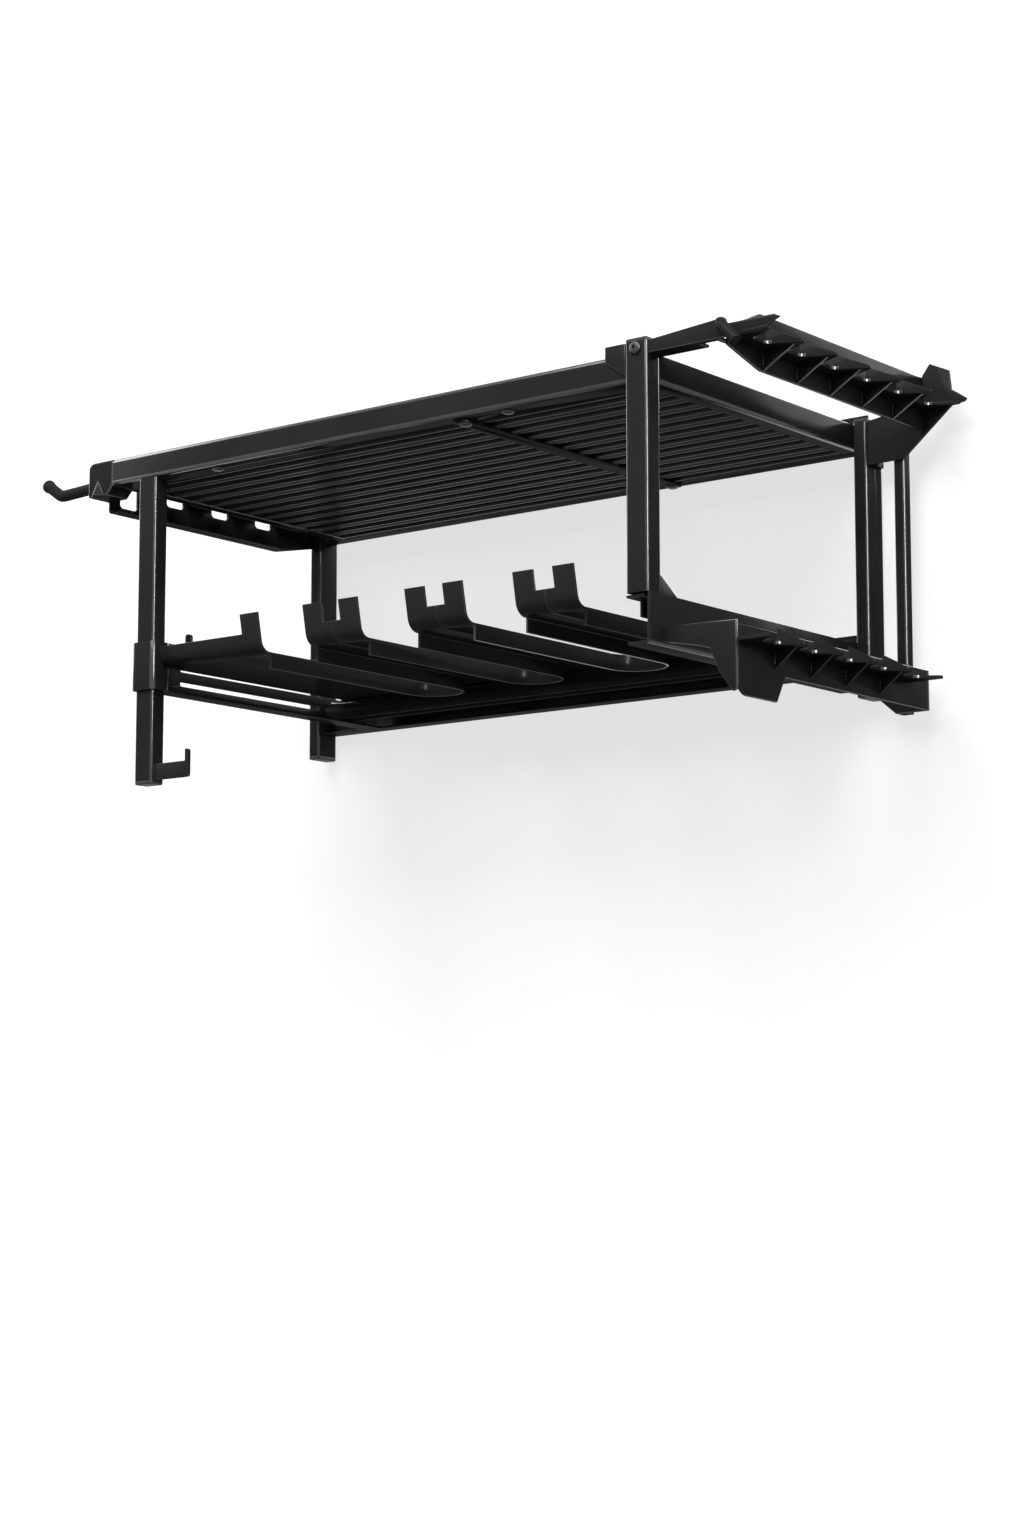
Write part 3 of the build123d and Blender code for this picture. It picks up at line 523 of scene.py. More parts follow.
def revolved(profile: np.ndarray, seat: np.ndarray, axis: np.ndarray, around: int,
             sides: np.ndarray | None = None) -> Solid:
    """A turned solid on a seat.

    Point (i, t) is seat + h_i axis + r_i k_i(t) (u cos t + v sin t), where h and r are the
    profile's heights and radii. k is 1 on round rows, and on six-sided rows it is
    cos(30 deg) / cos(d), where d is the angle from t to the middle of the nearest side.

    Args:
        profile: Rows of (radius, height), from pole to pole, both with radius 0.
        seat: The middle of the surface that the head stands on.
        axis: The way the head stands.
        around: Points in a ring.
        sides: For each row between the poles, True where it is six-sided.

    Returns:
        The vertices and faces.
    """
    axis = unit(np.asarray(axis, float))
    across = unit(np.cross(axis, OBLIQUE))
    along = np.cross(axis, across)
    angle = np.arange(around) * TURN / around
    radii = profile[1:-1, 0][:, None] * np.ones(around)
    if sides is not None:
        nearest = (angle + TURN / 12) % (TURN / 6) - TURN / 12
        hexagon = math.cos(TURN / 12) / np.cos(nearest)
        radii = np.where(sides[:, None], radii * hexagon, radii)
    spoke = np.cos(angle)[:, None] * across + np.sin(angle)[:, None] * along
    rings = seat + profile[1:-1, 1][:, None, None] * axis + radii[..., None] * spoke
    poles = seat + profile[[0, -1], 1][:, None] * axis
    return ring_solid(rings, poles[0], poles[1])


def bent_line(corners: np.ndarray, radius: float, steps: int) -> tuple[np.ndarray, np.ndarray]:
    """The middle line of a bent rod: straight runs joined by arcs that touch them.

    At a corner that turns by w, the arc starts and ends radius * tan(w / 2) from the corner. With
    p and n as its start and the unit vector to its centre, its points are
    p + radius (t sin a + n (1 - cos a)) for a from 0 to w, where t is the direction of the run.

    Args:
        corners: The corners of the line.
        radius: The radius of each bend.
        steps: Points along each bend.

    Returns:
        The points and the directions of the line at them.
    """
    runs = unit(np.diff(corners, axis=0))
    points, ways = [corners[:1]], [runs[:1]]
    for corner, before, after in zip(corners[1:-1], runs[:-1], runs[1:]):
        turn = math.acos(float(np.clip(before @ after, -1, 1)))
        inwards = unit(after - before * math.cos(turn))
        a = np.linspace(0, turn, steps)[:, None]
        start = corner - before * radius * math.tan(turn / 2)
        points.append(start + radius * (before * np.sin(a) + inwards * (1 - np.cos(a))))
        ways.append(before * np.cos(a) + inwards * np.sin(a))
    return np.vstack([*points, corners[-1:]]), np.vstack([*ways, runs[-1:]])


def rod(points: np.ndarray, ways: np.ndarray, radius: float, flat: np.ndarray, around: int,
        rounding: float, swell: float = 0.0) -> Solid:
    """A round rod along a line in one plane, square at its start and rounded at its end.

    Ring i is p_i + r_i (b cos t + n_i sin t), with b square to the plane and n_i = b x direction.
    The last rings make the tip: with e as the rounding and w as the swell, for a from -90 to 90
    degrees, they lie e (1 + sin a) further on, with r = radius + w cos a up to the widest ring
    and r = radius + w - e (1 - cos a) after it.

    Args:
        points: The middle line.
        ways: Its directions.
        radius: The rod's radius.
        flat: The direction square to the line's plane.
        around: Points in a ring.
        rounding: The rounding of the end's rim.
        swell: How much wider the tip is.

    Returns:
        The vertices and faces.
    """
    a = np.linspace(-TURN / 4, TURN / 4, TIP_ROWS)[1:]
    end = points[-1] - 2 * rounding * ways[-1]
    line = np.vstack([points[:-1], end, end + ways[-1] * rounding * (1 + np.sin(a))[:, None]])
    way = np.vstack([ways, np.repeat(ways[-1:], len(a), axis=0)])
    tip = radius + np.where(a < 0, swell * np.cos(a), swell - rounding * (1 - np.cos(a)))
    sizes = np.concatenate([np.full(len(points), radius), tip])
    side = np.cross(flat, way)
    t = np.arange(around) * TURN / around
    spoke = np.cos(t)[None, :, None] * flat + np.sin(t)[None, :, None] * side[:, None, :]
    rings = line[:, None, :] + sizes[:, None, None] * spoke
    return ring_solid(rings, line[0], line[-1])


def weld_bead(start: np.ndarray, end: np.ndarray, faces: tuple[np.ndarray, np.ndarray], leg: float,
              ripple: float) -> Solid:
    """A rippled fillet of weld in the corner between two surfaces.

    Ring i has, for t from 0 to a turn, the points m_i + f_i leg (u cos t + v sin t), where u and v
    are the two surfaces' outward directions and m lies in the corner. At s along the bead, with e
    as the size of its ends and k as that of its ripples,
    f = (e + (1 - e) sqrt(sin(180 deg s / length))) (1 + k cos(360 deg s / ripple)).
    The sine is taken no nearer to an end than a fiftieth of the length.

    Args:
        start: One end of the corner line.
        end: Its other end.
        faces: The outward directions of the two surfaces.
        leg: How far the bead reaches along each surface.
        ripple: The spacing of the ripples.

    Returns:
        The vertices and faces.
    """
    length = float(np.linalg.norm(end - start))
    s = np.linspace(0, length, max(BEAD_LEAST_ROWS, int(length / ripple * BEAD_ROWS_PER_RIPPLE)))
    rise = np.sqrt(np.sin(np.clip(s / length, BEAD_END, 1 - BEAD_END) * math.pi))
    swell = BEAD_END_SIZE + (1 - BEAD_END_SIZE) * rise
    size = leg * swell * (1 + BEAD_RIPPLE_SIZE * np.cos(TURN * s / ripple))
    t = np.arange(BEAD_AROUND) * TURN / BEAD_AROUND
    spoke = np.cos(t)[:, None] * faces[0] + np.sin(t)[:, None] * faces[1]
    middle = start + (end - start) * (s / length)[:, None]
    rings = middle[:, None, :] + size[:, None, None] * spoke
    return ring_solid(rings, start, end)


# Edges


class EdgeTool(Nodes):
    """A geometry-node group that works on the edges of the dressed nodes."""

    def __init__(self, name: str, *numbers: str) -> None:
        """Makes the group, with its entry and its way out.

        Args:
            name: The group's name.
            numbers: The names of further inputs, each a number.
        """
        super().__init__(bpy.data.node_groups.new(name, "GeometryNodeTree"))
        sockets = self.tree.interface.new_socket
        sockets("Geometry", in_out="INPUT", socket_type="NodeSocketGeometry")
        self.inputs = {given: sockets(given, in_out="INPUT", socket_type="NodeSocketFloat").identifier
                       for given in numbers}
        sockets("Geometry", in_out="OUTPUT", socket_type="NodeSocketGeometry")
        self.entry = self.node("NodeGroupInput")

    def value(self, node: bpy.types.Node, output: int | str = 0) -> Value:
        """One output of a node as a Value."""
        return Value(self, node.outputs[output])

    def turn(self) -> Value:
        """The angle between the two faces of an edge."""
        return self.value(self.node("GeometryNodeInputMeshEdgeAngle"), "Unsigned Angle")

    def length(self) -> Value:
        """The length of an edge."""
        ends = self.node("GeometryNodeInputMeshEdgeVertices").outputs
        sockets = {0: ends["Position 1"], 1: ends["Position 2"]}
        return self.value(self.node("ShaderNodeVectorMath", {"operation": "DISTANCE"}, sockets), "Value")

    def store(self, geometry: Socket, name: str, domain: str, number: Value) -> Socket:
        """Keeps a number on each edge or face.

        Args:
            geometry: The mesh.
            name: The attribute's name.
            domain: EDGE or FACE.
            number: The number.

        Returns:
            The mesh with the attribute.
        """
        kept = self.node("GeometryNodeStoreNamedAttribute", {"data_type": "FLOAT", "domain": domain},
                         {"Geometry": geometry, "Name": name, "Value": number})
        return kept.outputs["Geometry"]

    def leave(self, geometry: Socket) -> None:
        """Hands the mesh on."""
        self.node("NodeGroupOutput", None, {0: geometry})

    def put(self, piece: bpy.types.Object, **numbers: float) -> None:
        """Adds the group to a piece as a modifier.

        Args:
            piece: The object.
            numbers: The group's further inputs.
        """
        added = piece.modifiers.new(self.tree.name, "NODES")
        added.node_group = self.tree
        for name, number in numbers.items():
            added[self.inputs[name]] = number


@dataclass
class EdgeTools:
    """Weld, weigh, round, mark and shade the edges of a CAD node, and leave its mesh as it is. The mark
    drives the edge gloss and a paler edge colour that is partly a painted highlight.
    """

    join_distance: float = 0.004 * MM
    turn_of_flats: float = math.radians(0.6)
    turn_to_round: float = math.radians(40)
    turn_to_shade: float = math.radians(32)
    long_edge: float = 24 * MM
    short_rounding: float = 0.3 * MM
    rows_on_tubes: int = 4
    rows_elsewhere: int = 2
    marked_width: float = 1.2 * MM
    strip_edge_marking: float = 0.4

    def __post_init__(self) -> None:
        """Makes the three groups."""
        self.weigh = self.weighing()
        self.edge_marking = self.wear_and_highlight_marking()
        self.shade = self.shading()

    def weighing(self) -> EdgeTool:
        """Weighs the edges for the rounding.

        An edge that turns by over 40 degrees weighs 1 where it is longer than 24 mm, and the
        input "short" where it is shorter. Any other edge weighs 0.

        Returns:
            The group.
        """
        tool = EdgeTool("weigh_edges", "short")
        sharp = tool.turn().over(self.turn_to_round)
        long = tool.length().over(self.long_edge)
        short = Value(tool, tool.entry.outputs["short"])
        weight = sharp * (short + long * (1 - short))
        tool.leave(tool.store(tool.entry.outputs[0], "bevel_weight_edge", "EDGE", weight))
        return tool

    def wear_and_highlight_marking(self) -> EdgeTool:
        """Marks the narrow faces, which are the rounded edges and the rims of the sheets, by the group's
        number input, for the edge gloss and the paler edge colour that is partly a painted highlight.

        A face of half perimeter h and area a is as narrow as a rectangle with the same two:
        (h - sqrt(h * h - 4 a)) / 2.

        Returns:
            The group.
        """
        tool = EdgeTool("mark_wear_and_highlight_edges", "edge_marking")
        place = {"domain": "EDGE", "data_type": "FLOAT"}
        mean = tool.value(tool.node("GeometryNodeFieldOnDomain", place, {0: tool.length()}))
        corners = tool.value(tool.node("GeometryNodeInputMeshFaceNeighbors"), "Vertex Count")
        area = tool.value(tool.node("GeometryNodeInputMeshFaceArea"))
        half = mean * corners * 0.5
        width = 0.5 * (half - (half * half - 4.0 * area).above(0.0) ** 0.5)
        edge_marking = Value(tool, tool.entry.outputs["edge_marking"]) * (1 - width.over(self.marked_width))
        tool.leave(tool.store(tool.entry.outputs[0], EDGE_WEAR_AND_HIGHLIGHT, "FACE", edge_marking))
        return tool

    def shading(self) -> EdgeTool:
        """Shades smooth, with an edge left sharp where it turns by over 32 degrees.

        Returns:
            The group.
        """
        tool = EdgeTool("smooth_by_turn")
        smooth = tool.node("GeometryNodeSetShadeSmooth", None, {"Geometry": tool.entry.outputs[0]})
        sockets = {"Geometry": smooth.outputs[0], "Selection": tool.turn().over(self.turn_to_shade),
                   "Shade Smooth": False}
        tool.leave(tool.node("GeometryNodeSetShadeSmooth", {"domain": "EDGE"}, sockets).outputs[0])
        return tool

    def soften(self, piece: bpy.types.Object, edge: Edge) -> None:
        """Rounds a CAD node's sharp edges with modifiers.

        The loose triangles are welded, flat areas are joined, and edges that turn by more than 40
        degrees are rounded: long ones by the edge's width, short ones by 0.3 mm at most. The
        strips of the deck get a weaker edge mark, so their edges carry less gloss and less of the
        painted highlight, and stay darker.

        Args:
            piece: The CAD node's object.
            edge: How wide the rounding is.
        """
        weld = piece.modifiers.new("join_triangles", "WELD")
        weld.merge_threshold = self.join_distance
        flat = piece.modifiers.new("join_flats", "DECIMATE")
        flat.decimate_type = "DISSOLVE"
        flat.angle_limit = self.turn_of_flats
        self.weigh.put(piece, short=min(1.0, self.short_rounding / edge.value))
        bevel = piece.modifiers.new("round_edges", "BEVEL")
        bevel.limit_method = "WEIGHT"
        bevel.width = edge.value
        bevel.segments = self.rows_on_tubes if edge is Edge.TUBE else self.rows_elsewhere
        # Weaker edge mark on the deck strips: less edge gloss and less painted highlight.
        self.edge_marking.put(piece, edge_marking=self.strip_edge_marking if edge is Edge.STRIP else 1.0)
        self.shade.put(piece)


# Pieces and how they are dressed


@dataclass
class SubAssembly:
    """Pieces that belong together, with what they all share."""

    finishes: Finishes
    edges: EdgeTools

    def dress(self, node: str, slot: Slot, edge: Edge) -> None:
        """Gives a CAD node its finish and rounds its edges.

        Args:
            node: The CAD node.
            slot: Its finish.
            edge: How wide its rounded edges are.
        """
        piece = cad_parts[node]
        self.finishes.put(piece, slot)
        self.edges.soften(piece, edge)
        log.info("dressed %s in %s", node, slot.value)

    def add(self, name: str, solids: list[Solid], slot: Slot, *replaced: str) -> None:
        """Makes a new piece of smooth solids, and puts it on the rack.

        Args:
            name: The piece's name.
            solids: The vertices and faces of each solid.
            slot: Its finish.
            replaced: The CAD nodes that it stands for.
        """
        points, faces = joined(solids)
        mesh = bpy.data.meshes.new(name)
        mesh.from_pydata(points.tolist(), [], faces)
        mesh.polygons.foreach_set("use_smooth", np.ones(len(faces), bool))
        mesh.set_sharp_from_angle(angle=SHARP_TURN)
        mesh.update()
        piece = bpy.data.objects.new(name, mesh)
        bpy.context.scene.collection.objects.link(piece)
        self.finishes.put(piece, slot)
        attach(piece, BODY)
        if replaced:
            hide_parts(*replaced)
        log.info("made %s with %d faces", name, len(faces))


@dataclass
class ShelfFrame(SubAssembly):
    """Beam, posts, uprights and back rails, with the caps of the tubes."""

    folded: tuple[str, ...] = ("front_beam", "shelf_back_rail", "tier_back_rail", "corner_plate")
    tubes: tuple[str, ...] = (
        "left_front_post", "right_front_post", "left_rear_upright", "right_rear_upright",
    )
    caps: tuple[str, ...] = ("left_post_foot_cap", "right_post_cap", "upright_caps")

    def build(self) -> None:
        """Dresses the frame's nodes."""
        for node in self.folded:
            self.dress(node, Slot.POWDER_COAT, Edge.FOLDED_SHEET)
        for node in self.tubes:
            self.dress(node, Slot.POWDER_COAT, Edge.TUBE)
        for node in self.caps:
            self.dress(node, Slot.PLASTIC, Edge.MOULDING)
        self.dress("beam_end_block", Slot.POWDER_COAT, Edge.CASTING)


@dataclass
class ShelfDeck(SubAssembly):
    """Slats and the rails, strip and brace that carry them."""

    slats: int = 12
    carriers: tuple[str, ...] = ("deck_left_rail", "deck_right_rail", "deck_front_strip", "deck_brace")

    def build(self) -> None:
        """Dresses the deck's nodes."""
        for node in self.carriers:
            self.dress(node, Slot.POWDER_COAT, Edge.FOLDED_SHEET)
        for number in range(1, self.slats + 1):
            self.dress(f"slat_{number:02d}", Slot.POWDER_COAT, Edge.STRIP)


@dataclass
class LowerTier(SubAssembly):
    """Side rails, cross bar and cradles, and what joins them to the posts."""

    cradles: int = 4
    sheets: tuple[str, ...] = ("tier_left_rail", "tier_right_rail", "tier_cross_bar")
    plates: tuple[str, ...] = ("tier_collar", "post_bracket", "post_foot_hook")

    def build(self) -> None:
        """Dresses the tier's nodes."""
        for node in self.sheets:
            self.dress(node, Slot.POWDER_COAT, Edge.FOLDED_SHEET)
        for node in self.plates:
            self.dress(node, Slot.POWDER_COAT, Edge.FLAT_PLATE)
        for number in range(1, self.cradles + 1):
            self.dress(f"tool_cradle_{number}", Slot.POWDER_COAT, Edge.FOLDED_SHEET)
        self.dress("cradle_nuts", Slot.ZINC, Edge.NUT)


@dataclass
class LeftEnd(SubAssembly):
    """The notched tool rail and the hook in front of it."""

    hook_radius: float = 4.0 * MM
    hook_dip: float = 1.5 * MM
    hook_lift: float = 11.0 * MM
    hook_tip_run: float = 16.0 * MM
    hook_bend: float = 9.0 * MM
    hook_back: float = 9.0 * MM
    hook_height: float = 3.0 * MM
    hook_run: float = 36.0 * MM
    tip_rounding: float = 3.0 * MM
    tip_swell: float = 0.7 * MM
    around: int = 32

    def build(self) -> None:
        """Dresses the rail and turns the hook's rod."""
        self.dress("left_tool_rail", Slot.POWDER_COAT, Edge.FOLDED_SHEET)
        beam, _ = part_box("front_beam")
        block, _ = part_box("beam_end_block")
        root = np.array([block.x, beam.y + self.hook_back, beam.z + self.hook_height])
        corners = root + np.array([
            (0, 0, 0),
            (-self.hook_radius, 0, 0),
            (-self.hook_run, 0, -self.hook_dip),
            (-self.hook_run - self.hook_tip_run, 0, self.hook_lift - self.hook_dip),
        ])
        points, ways = bent_line(corners, self.hook_bend, BEND_STEPS)
        flat = np.array([0.0, 1.0, 0.0])
        solid = rod(points, ways, self.hook_radius, flat, self.around, self.tip_rounding, self.tip_swell)
        self.add("hook_rod", [solid], Slot.POWDER_COAT, "left_hook")


@dataclass
class RightEnd(SubAssembly):
    """Arms, combs, plates and strut, and the peg on the front arm."""

    plates: tuple[str, ...] = (
        "right_front_arm", "right_rear_arm", "right_back_plate", "right_comb", "right_comb_gussets",
        "lower_front_arm", "lower_rear_arm", "lower_back_plate", "lower_comb", "lower_comb_gussets",
    )
    peg_radius: float = 3.4 * MM
    peg_out: float = 4.0 * MM
    peg_run: float = 13.5 * MM
    peg_fall: float = 13.5 * MM
    peg_stand: float = 5.0 * MM
    peg_bend: float = 4.5 * MM
    peg_rounding: float = 1.2 * MM
    around: int = 28

    def build(self) -> None:
        """Dresses the plates and turns the peg's rod."""
        for node in self.plates:
            self.dress(node, Slot.POWDER_COAT, Edge.FLAT_PLATE)
        self.dress("outer_strut", Slot.POWDER_COAT, Edge.TUBE)
        back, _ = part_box("right_back_plate")
        low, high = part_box("right_front_arm")
        root = np.array([back.x + self.peg_out, low.y, high.z - self.peg_radius])
        corners = root + np.array([
            (0, 0, 0),
            (0, -self.peg_stand, 0),
            (self.peg_run, -self.peg_stand, -self.peg_fall),
        ])
        points, ways = bent_line(corners, self.peg_bend, BEND_STEPS)
        flat = unit(np.cross(ways[0], ways[-1]))
        solid = rod(points, ways, self.peg_radius, flat, self.around, self.peg_rounding)
        self.add("peg_rod", [solid], Slot.POWDER_COAT, "corner_peg")


@dataclass
class Fasteners(SubAssembly):
    """Button-headed screws and bolts with hexagon sockets, and domed rivets."""

    shank: float = 2.0 * MM
    point: float = 0.4 * MM
    head: float = 4.0 * MM
    head_height: float = 2.4 * MM
    rim_height: float = 0.8 * MM
    flat_top: float = 1.75 * MM
    socket: float = 1.3 * MM
    socket_lip: float = 0.12 * MM
    socket_lip_depth: float = 0.15 * MM
    screw_length: float = 5.0 * MM
    rear_screw_back: float = 9.0 * MM
    rear_screw_rises: tuple[float, float] = (4.0 * MM, 17.0 * MM)
    bolt_length: float = 9.0 * MM
    bolt_offset: float = 20.0 * MM
    slot_middle: float = 43.2 * MM
    rivet_head: float = 4.2 * MM
    rivet_height: float = 1.8 * MM
    rivet_inset: float = 115.0 * MM
    rivet_back: float = 10.0 * MM
    rivet_lap: float = 6.5 * MM
    rivet_gap: float = 0.3 * MM
    around: int = 36
    dome_rows: int = 9

    def head_profile(self, length: float) -> tuple[np.ndarray, np.ndarray]:
        """Rows of a screw, from the end of its shank to the floor of its socket.

        The dome from rim to top is a quarter ellipse: with R the head and T the radius of its flat
        top, r = T + (R - T) cos a and h = rim + (top - rim) sin a, for a from 0 to 90 degrees.

        Args:
            length: The shank's length.

        Returns:
            Rows of (radius, height), and which rows between the poles are six-sided.
        """
        a = np.linspace(0, TURN / 4, self.dome_rows)
        dome = np.stack([
            self.flat_top + (self.head - self.flat_top) * np.cos(a),
            self.rim_height + (self.head_height - self.rim_height) * np.sin(a),
        ], axis=-1)
        bottom = [(0, -length), (self.shank - self.point, -length), (self.shank, self.point - length),
                  (self.shank, 0), (self.head, 0)]
        floor = self.head_height - self.socket
        inside = [(self.socket + self.socket_lip, self.head_height),
                  (self.socket, self.head_height - self.socket_lip_depth),
                  (self.socket, floor), (0, floor)]
        profile = np.vstack([bottom, dome, inside])
        sides = np.zeros(len(profile) - 2, bool)
        sides[1 - len(inside):] = True
        return profile, sides

    def rivet_profile(self, grip: float) -> np.ndarray:
        """Rows of a rivet: a shank and a domed head, r = R cos a and h = H sin a on its dome.

        Args:
            grip: The shank's length.

        Returns:
            Rows of (radius, height), from pole to pole.
        """
        a = np.linspace(0, TURN / 4, self.dome_rows + 1)[:-1]
        dome = np.stack([self.rivet_head * np.cos(a), self.rivet_height * np.sin(a)], axis=-1)
        bottom = [(0, -grip), (self.shank, -grip), (self.shank, 0)]
        return np.vstack([bottom, dome, [(0, self.rivet_height)]])

    def screw_seats(self) -> list[tuple[tuple, tuple]]:
        """The middle and the direction of each screw's seat.

        Returns:
            Pairs of a place and a direction.
        """
        low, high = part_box("right_front_post")
        collar_low, collar_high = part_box("tier_collar")
        rear_low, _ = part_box("right_rear_arm")
        collar_y = (collar_low.y + collar_high.y) / 2
        rear = [((rear_low.x + PLATE, -self.rear_screw_back, rear_low.z + rise), (1, 0, 0))
                for rise in self.rear_screw_rises]
        return [
            (((low.x + high.x) / 2, low.y, high.z - self.head), (0, -1, 0)),
            ((collar_low.x, collar_y, collar_high.z - self.head), (-1, 0, 0)),
            *rear,
        ]

    def bolt_seats(self) -> list[tuple[tuple, tuple]]:
        """The seats of the bolts, on each side of each cradle's slot.

        Returns:
            Pairs of a place and a direction.
        """
        bar_low, bar_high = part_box("tier_cross_bar")
        y, z = (bar_low.y + bar_high.y) / 2, bar_high.z + SHEET
        seats = []
        for number in range(1, LowerTier.cradles + 1):
            low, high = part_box(f"tool_cradle_{number}")
            x = high.x - self.slot_middle if number == 1 else low.x + self.slot_middle
            seats += [((x + side * self.bolt_offset, y, z), (0, 0, 1)) for side in (-1, 1)]
        return seats

    def rivet_seats(self) -> list[tuple[tuple, float]]:
        """The seats of the rivets under the beam and the brace, and the length that each grips.

        Returns:
            Pairs of a place and a grip.
        """
        beam_low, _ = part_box("front_beam")
        block_low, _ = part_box("beam_end_block")
        _, post_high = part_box("right_front_post")
        low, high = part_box("deck_brace")
        x, y = (low.x + high.x) / 2, beam_low.y + self.rivet_back
        return [
            ((block_low.x + self.rivet_inset, y, beam_low.z), 2 * SHEET),
            ((post_high.x - self.rivet_inset, y, beam_low.z), 2 * SHEET),
            ((x, low.y + self.rivet_lap, low.z), 3 * SHEET),
            ((x, high.y - self.rivet_head - self.rivet_gap, low.z), 2 * SHEET),
        ]

    def build(self) -> None:
        """Turns every screw, bolt and rivet."""
        profile, sides = self.head_profile(self.screw_length)
        screws = [revolved(profile, np.array(seat), axis, self.around, sides)
                  for seat, axis in self.screw_seats()]
        self.add("frame_button_screws", screws, Slot.ZINC, "frame_screws")
        profile, sides = self.head_profile(self.bolt_length)
        bolts = [revolved(profile, np.array(seat), axis, self.around, sides)
                 for seat, axis in self.bolt_seats()]
        self.add("cradle_button_bolts", bolts, Slot.ZINC, "cradle_bolts")
        rivets = [revolved(self.rivet_profile(grip), np.array(seat), (0, 0, -1), self.around)
                  for seat, grip in self.rivet_seats()]
        self.add("deck_dome_rivets", rivets, Slot.ZINC, "deck_rivets")


@dataclass
class Welds(SubAssembly):
    """Small coated weld beads in the corners where the steel pieces are joined."""

    leg: float = 1.3 * MM
    ripple: float = 1.9 * MM
    end: float = 1.0 * MM
    post_end: float = 1.5 * MM
    gusset_end: float = 2.0 * MM
    foot_height: float = 11.0 * MM
    comb_slots: int = 6
    lower_comb_slots: int = 5

    def bead(self, start: tuple, end: tuple, first: tuple, second: tuple) -> Solid:
        """One bead between two surfaces.

        Args:
            start: One end of the corner line.
            end: Its other end.
            first: The outward direction of one surface.
            second: The outward direction of the other.

        Returns:
            The vertices and faces.
        """
        faces = (np.array(first, float), np.array(second, float))
        return weld_bead(np.array(start, float), np.array(end, float), faces, self.leg, self.ripple)

    def build(self) -> None:
        """Lays the beads of the left post, the foot hook and the gussets."""
        beads = [*self.post_beads(), *self.foot_beads(),
                 *self.gusset_beads("right_comb_gussets", self.comb_slots),
                 *self.gusset_beads("lower_comb_gussets", self.lower_comb_slots)]
        self.add("weld_beads", beads, Slot.POWDER_COAT)

    def post_beads(self) -> list[Solid]:
        """Beads under the beam, on both sides and the back of the left front post.

        Returns:
            The beads.
        """
        low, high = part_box("left_front_post")
        z, end = high.z, self.post_end
        sides = [
            self.bead((x, low.y + end, z), (x, high.y - end, z), (way, 0, 0), (0, 0, -1))
            for x, way in ((low.x, -1), (high.x, 1))
        ]
        back = self.bead((low.x + end, high.y, z), (high.x - end, high.y, z), (0, 1, 0), (0, 0, -1))
        return [*sides, back]

    def foot_beads(self) -> list[Solid]:
        """Beads on both sides of the foot hook, against the left post.

        Returns:
            The beads.
        """
        low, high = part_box("post_foot_hook")
        bottom, top = low.z + self.end, low.z + self.foot_height - self.end
        return [
            self.bead((low.x, y, bottom), (low.x, y, top), (1, 0, 0), (0, way, 0))
            for y, way in ((low.y, -1), (high.y, 1))
        ]

    def gusset_beads(self, node: str, slots: int) -> list[Solid]:
        """Beads on both sides of each gusset, against the back plate.

        Args:
            node: The node of the gussets.
            slots: The slots of their comb, one more than the gussets.

        Returns:
            The beads.
        """
        low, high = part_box(node)
        bottom, top = low.z + self.gusset_end, high.z - self.end
        pitch = (high.y - low.y - PLATE) / (slots - 2)
        beads = []
        for number in range(slots - 1):
            near = low.y + number * pitch
            for y, way in ((near, -1), (near + PLATE, 1)):
                beads.append(self.bead((low.x, y, bottom), (low.x, y, top), (1, 0, 0), (0, way, 0)))
        return beads


# Studio


@dataclass(frozen=True)
class Lamp:
    """A soft lamp that looks at the rack's origin."""

    name: str
    place: Triple
    width: float
    height: float
    watts: float
    lights_matt: bool = True


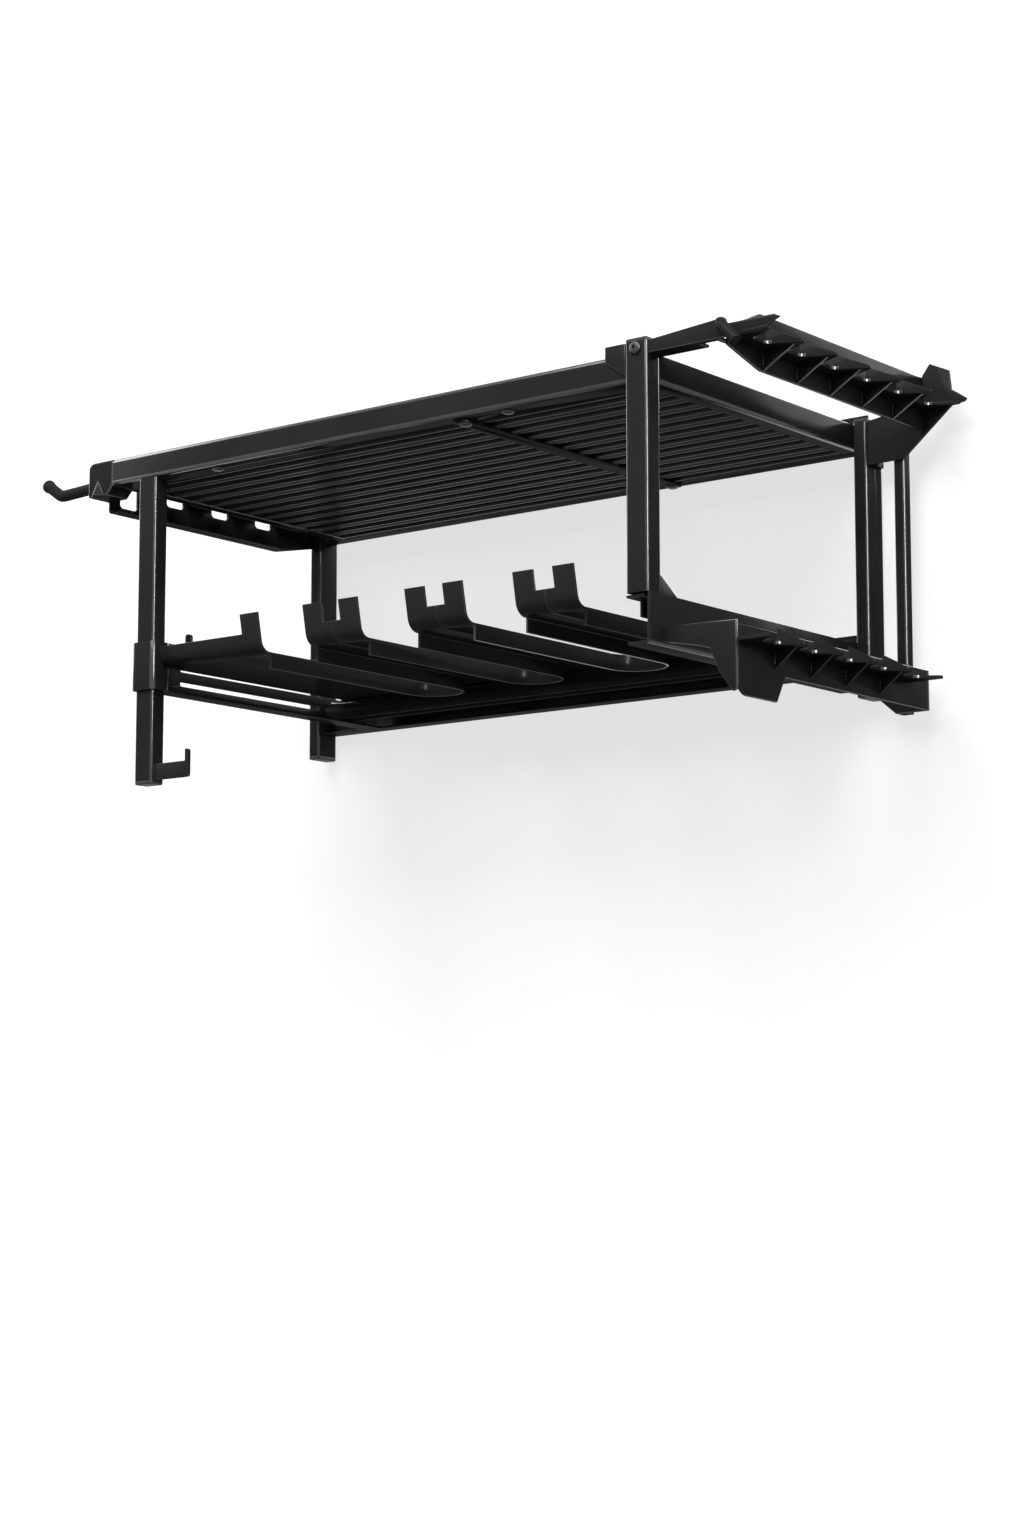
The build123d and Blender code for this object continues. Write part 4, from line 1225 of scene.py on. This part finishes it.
@dataclass
class Studio:
    """A white wall and floor, soft lamps and the camera."""

    eye: Triple = (1.2404, -1.6768, -0.4084)
    azimuth: float = 38.36
    pitch: float = 7.56
    lens: float = 70.6
    sensor_width: float = 36.0
    nearest: float = 0.05
    farthest: float = 40.0
    floor_height: float = -1.25
    wall_gap: float = 0.6 * MM
    reach: float = 9.0
    paint: Triple = (0.9, 0.9, 0.9)
    white: Triple = (1.0, 1.0, 1.0)
    glow_share: float = 0.5
    ambient: float = 0.18
    wall_glow: float = 1.40
    floor_glow: float = 1.84
    lamps: tuple[Lamp, ...] = (
        Lamp("key_lamp", (0.25, -2.1, 1.9), 2.4, 2.0, 96.0),
        Lamp("left_lamp", (-2.3, -0.5, 0.9), 1.4, 1.4, 34.0),
        Lamp("right_lamp", (2.3, -0.1, 0.9), 1.4, 1.4, 12.0),
        Lamp("back_lamp", (0.7, 2.4, 1.5), 1.8, 1.4, 70.0),
        Lamp("edge_lamp", (1.97, -0.84, 0.50), 0.4, 1.2, 75.0, False),
    )

    def backdrop(self, name: str, glow: float, corners: list[Triple]) -> None:
        """A white plane that shows only from its front, and holds no light back.

        Args:
            name: The plane's name.
            glow: How bright its own half of the white is.
            corners: Its corners, in the order that turns its face to the rack.
        """
        mesh = bpy.data.meshes.new(name)
        mesh.from_pydata(corners, [], [(0, 1, 2, 3)])
        plane = bpy.data.objects.new(name, mesh)
        bpy.context.scene.collection.objects.link(plane)
        made = bpy.data.materials.new(name)
        shader = Shader(made)
        paint = shader.node("ShaderNodeBsdfDiffuse", None, {"Color": rgba(self.paint)}).outputs[0]
        sockets = {"Color": rgba(self.white), "Strength": glow}
        light = shader.node("ShaderNodeEmission", None, sockets).outputs[0]
        front = shader.blend(self.glow_share, paint, light)
        clear = shader.node("ShaderNodeBsdfTransparent").outputs[0]
        behind = shader.node("ShaderNodeNewGeometry").outputs["Backfacing"]
        shader.surface(shader.blend(behind, front, clear))
        mesh.materials.append(made)
        plane.visible_diffuse = False
        plane.visible_glossy = False
        plane.visible_shadow = False
        log.info("stage: %s", name)

    def light(self) -> None:
        """Hangs the lamps and sets the world: white as it is seen or mirrored, grey as it lights."""
        for lamp in self.lamps:
            data = bpy.data.lights.new(lamp.name, "AREA")
            data.shape = "RECTANGLE"
            data.size, data.size_y = lamp.width, lamp.height
            data.energy = lamp.watts
            holder = bpy.data.objects.new(lamp.name, data)
            holder.location = lamp.place
            holder.rotation_euler = (-Vector(lamp.place)).to_track_quat("-Z", "Y").to_euler()
            holder.visible_diffuse = lamp.lights_matt
            bpy.context.scene.collection.objects.link(holder)
        world = bpy.data.worlds.new("studio")
        bpy.context.scene.world = world
        shader = Shader(world)
        path = shader.node("ShaderNodeLightPath").outputs
        rays = [Value(shader, path[f"Is {kind} Ray"]) for kind in ("Camera", "Glossy", "Transmission")]
        seen = (rays[0] + rays[1] + rays[2]).below(1.0)
        grey, white = (
            shader.node("ShaderNodeBackground", None, {"Color": rgba(self.white), "Strength": strength})
            for strength in (self.ambient, 1.0)
        )
        mixed = shader.blend(seen, grey.outputs[0], white.outputs[0])
        shader.node("ShaderNodeOutputWorld", None, {"Surface": mixed})

    def camera(self) -> None:
        """Sets the camera at the photograph's viewing angle."""
        data = bpy.data.cameras.new("camera")
        data.lens = self.lens
        data.sensor_width = self.sensor_width
        data.sensor_fit = "AUTO"
        data.clip_start = self.nearest
        data.clip_end = self.farthest
        holder = bpy.data.objects.new("camera", data)
        holder.location = self.eye
        holder.rotation_euler = (math.radians(90 + self.pitch), 0.0, math.radians(self.azimuth))
        bpy.context.scene.collection.objects.link(holder)
        bpy.context.scene.camera = holder

    def build(self) -> None:
        """Sets the wall, the floor, the light and the camera."""
        r, low, gap = self.reach, self.floor_height, self.wall_gap
        wall = [(-r, gap, low), (r, gap, low), (r, gap, r), (-r, gap, r)]
        floor = [(-r, -r, low), (r, -r, low), (r, gap, low), (-r, gap, low)]
        self.backdrop("wall", self.wall_glow, wall)
        self.backdrop("floor", self.floor_glow, floor)
        self.light()
        self.camera()
        bpy.context.scene.view_settings.view_transform = "Standard"


def main() -> None:
    """Builds the sub-assemblies in order, then the studio."""
    logging.basicConfig(level=logging.INFO, format="%(name)s: %(message)s")
    finishes, edges = Finishes(), EdgeTools()
    for part in (ShelfFrame, ShelfDeck, LowerTier, LeftEnd, RightEnd, Fasteners, Welds):
        log.info("building %s", part.__name__)
        part(finishes, edges).build()
    Studio().build()


if __name__ == "__main__":
    main()
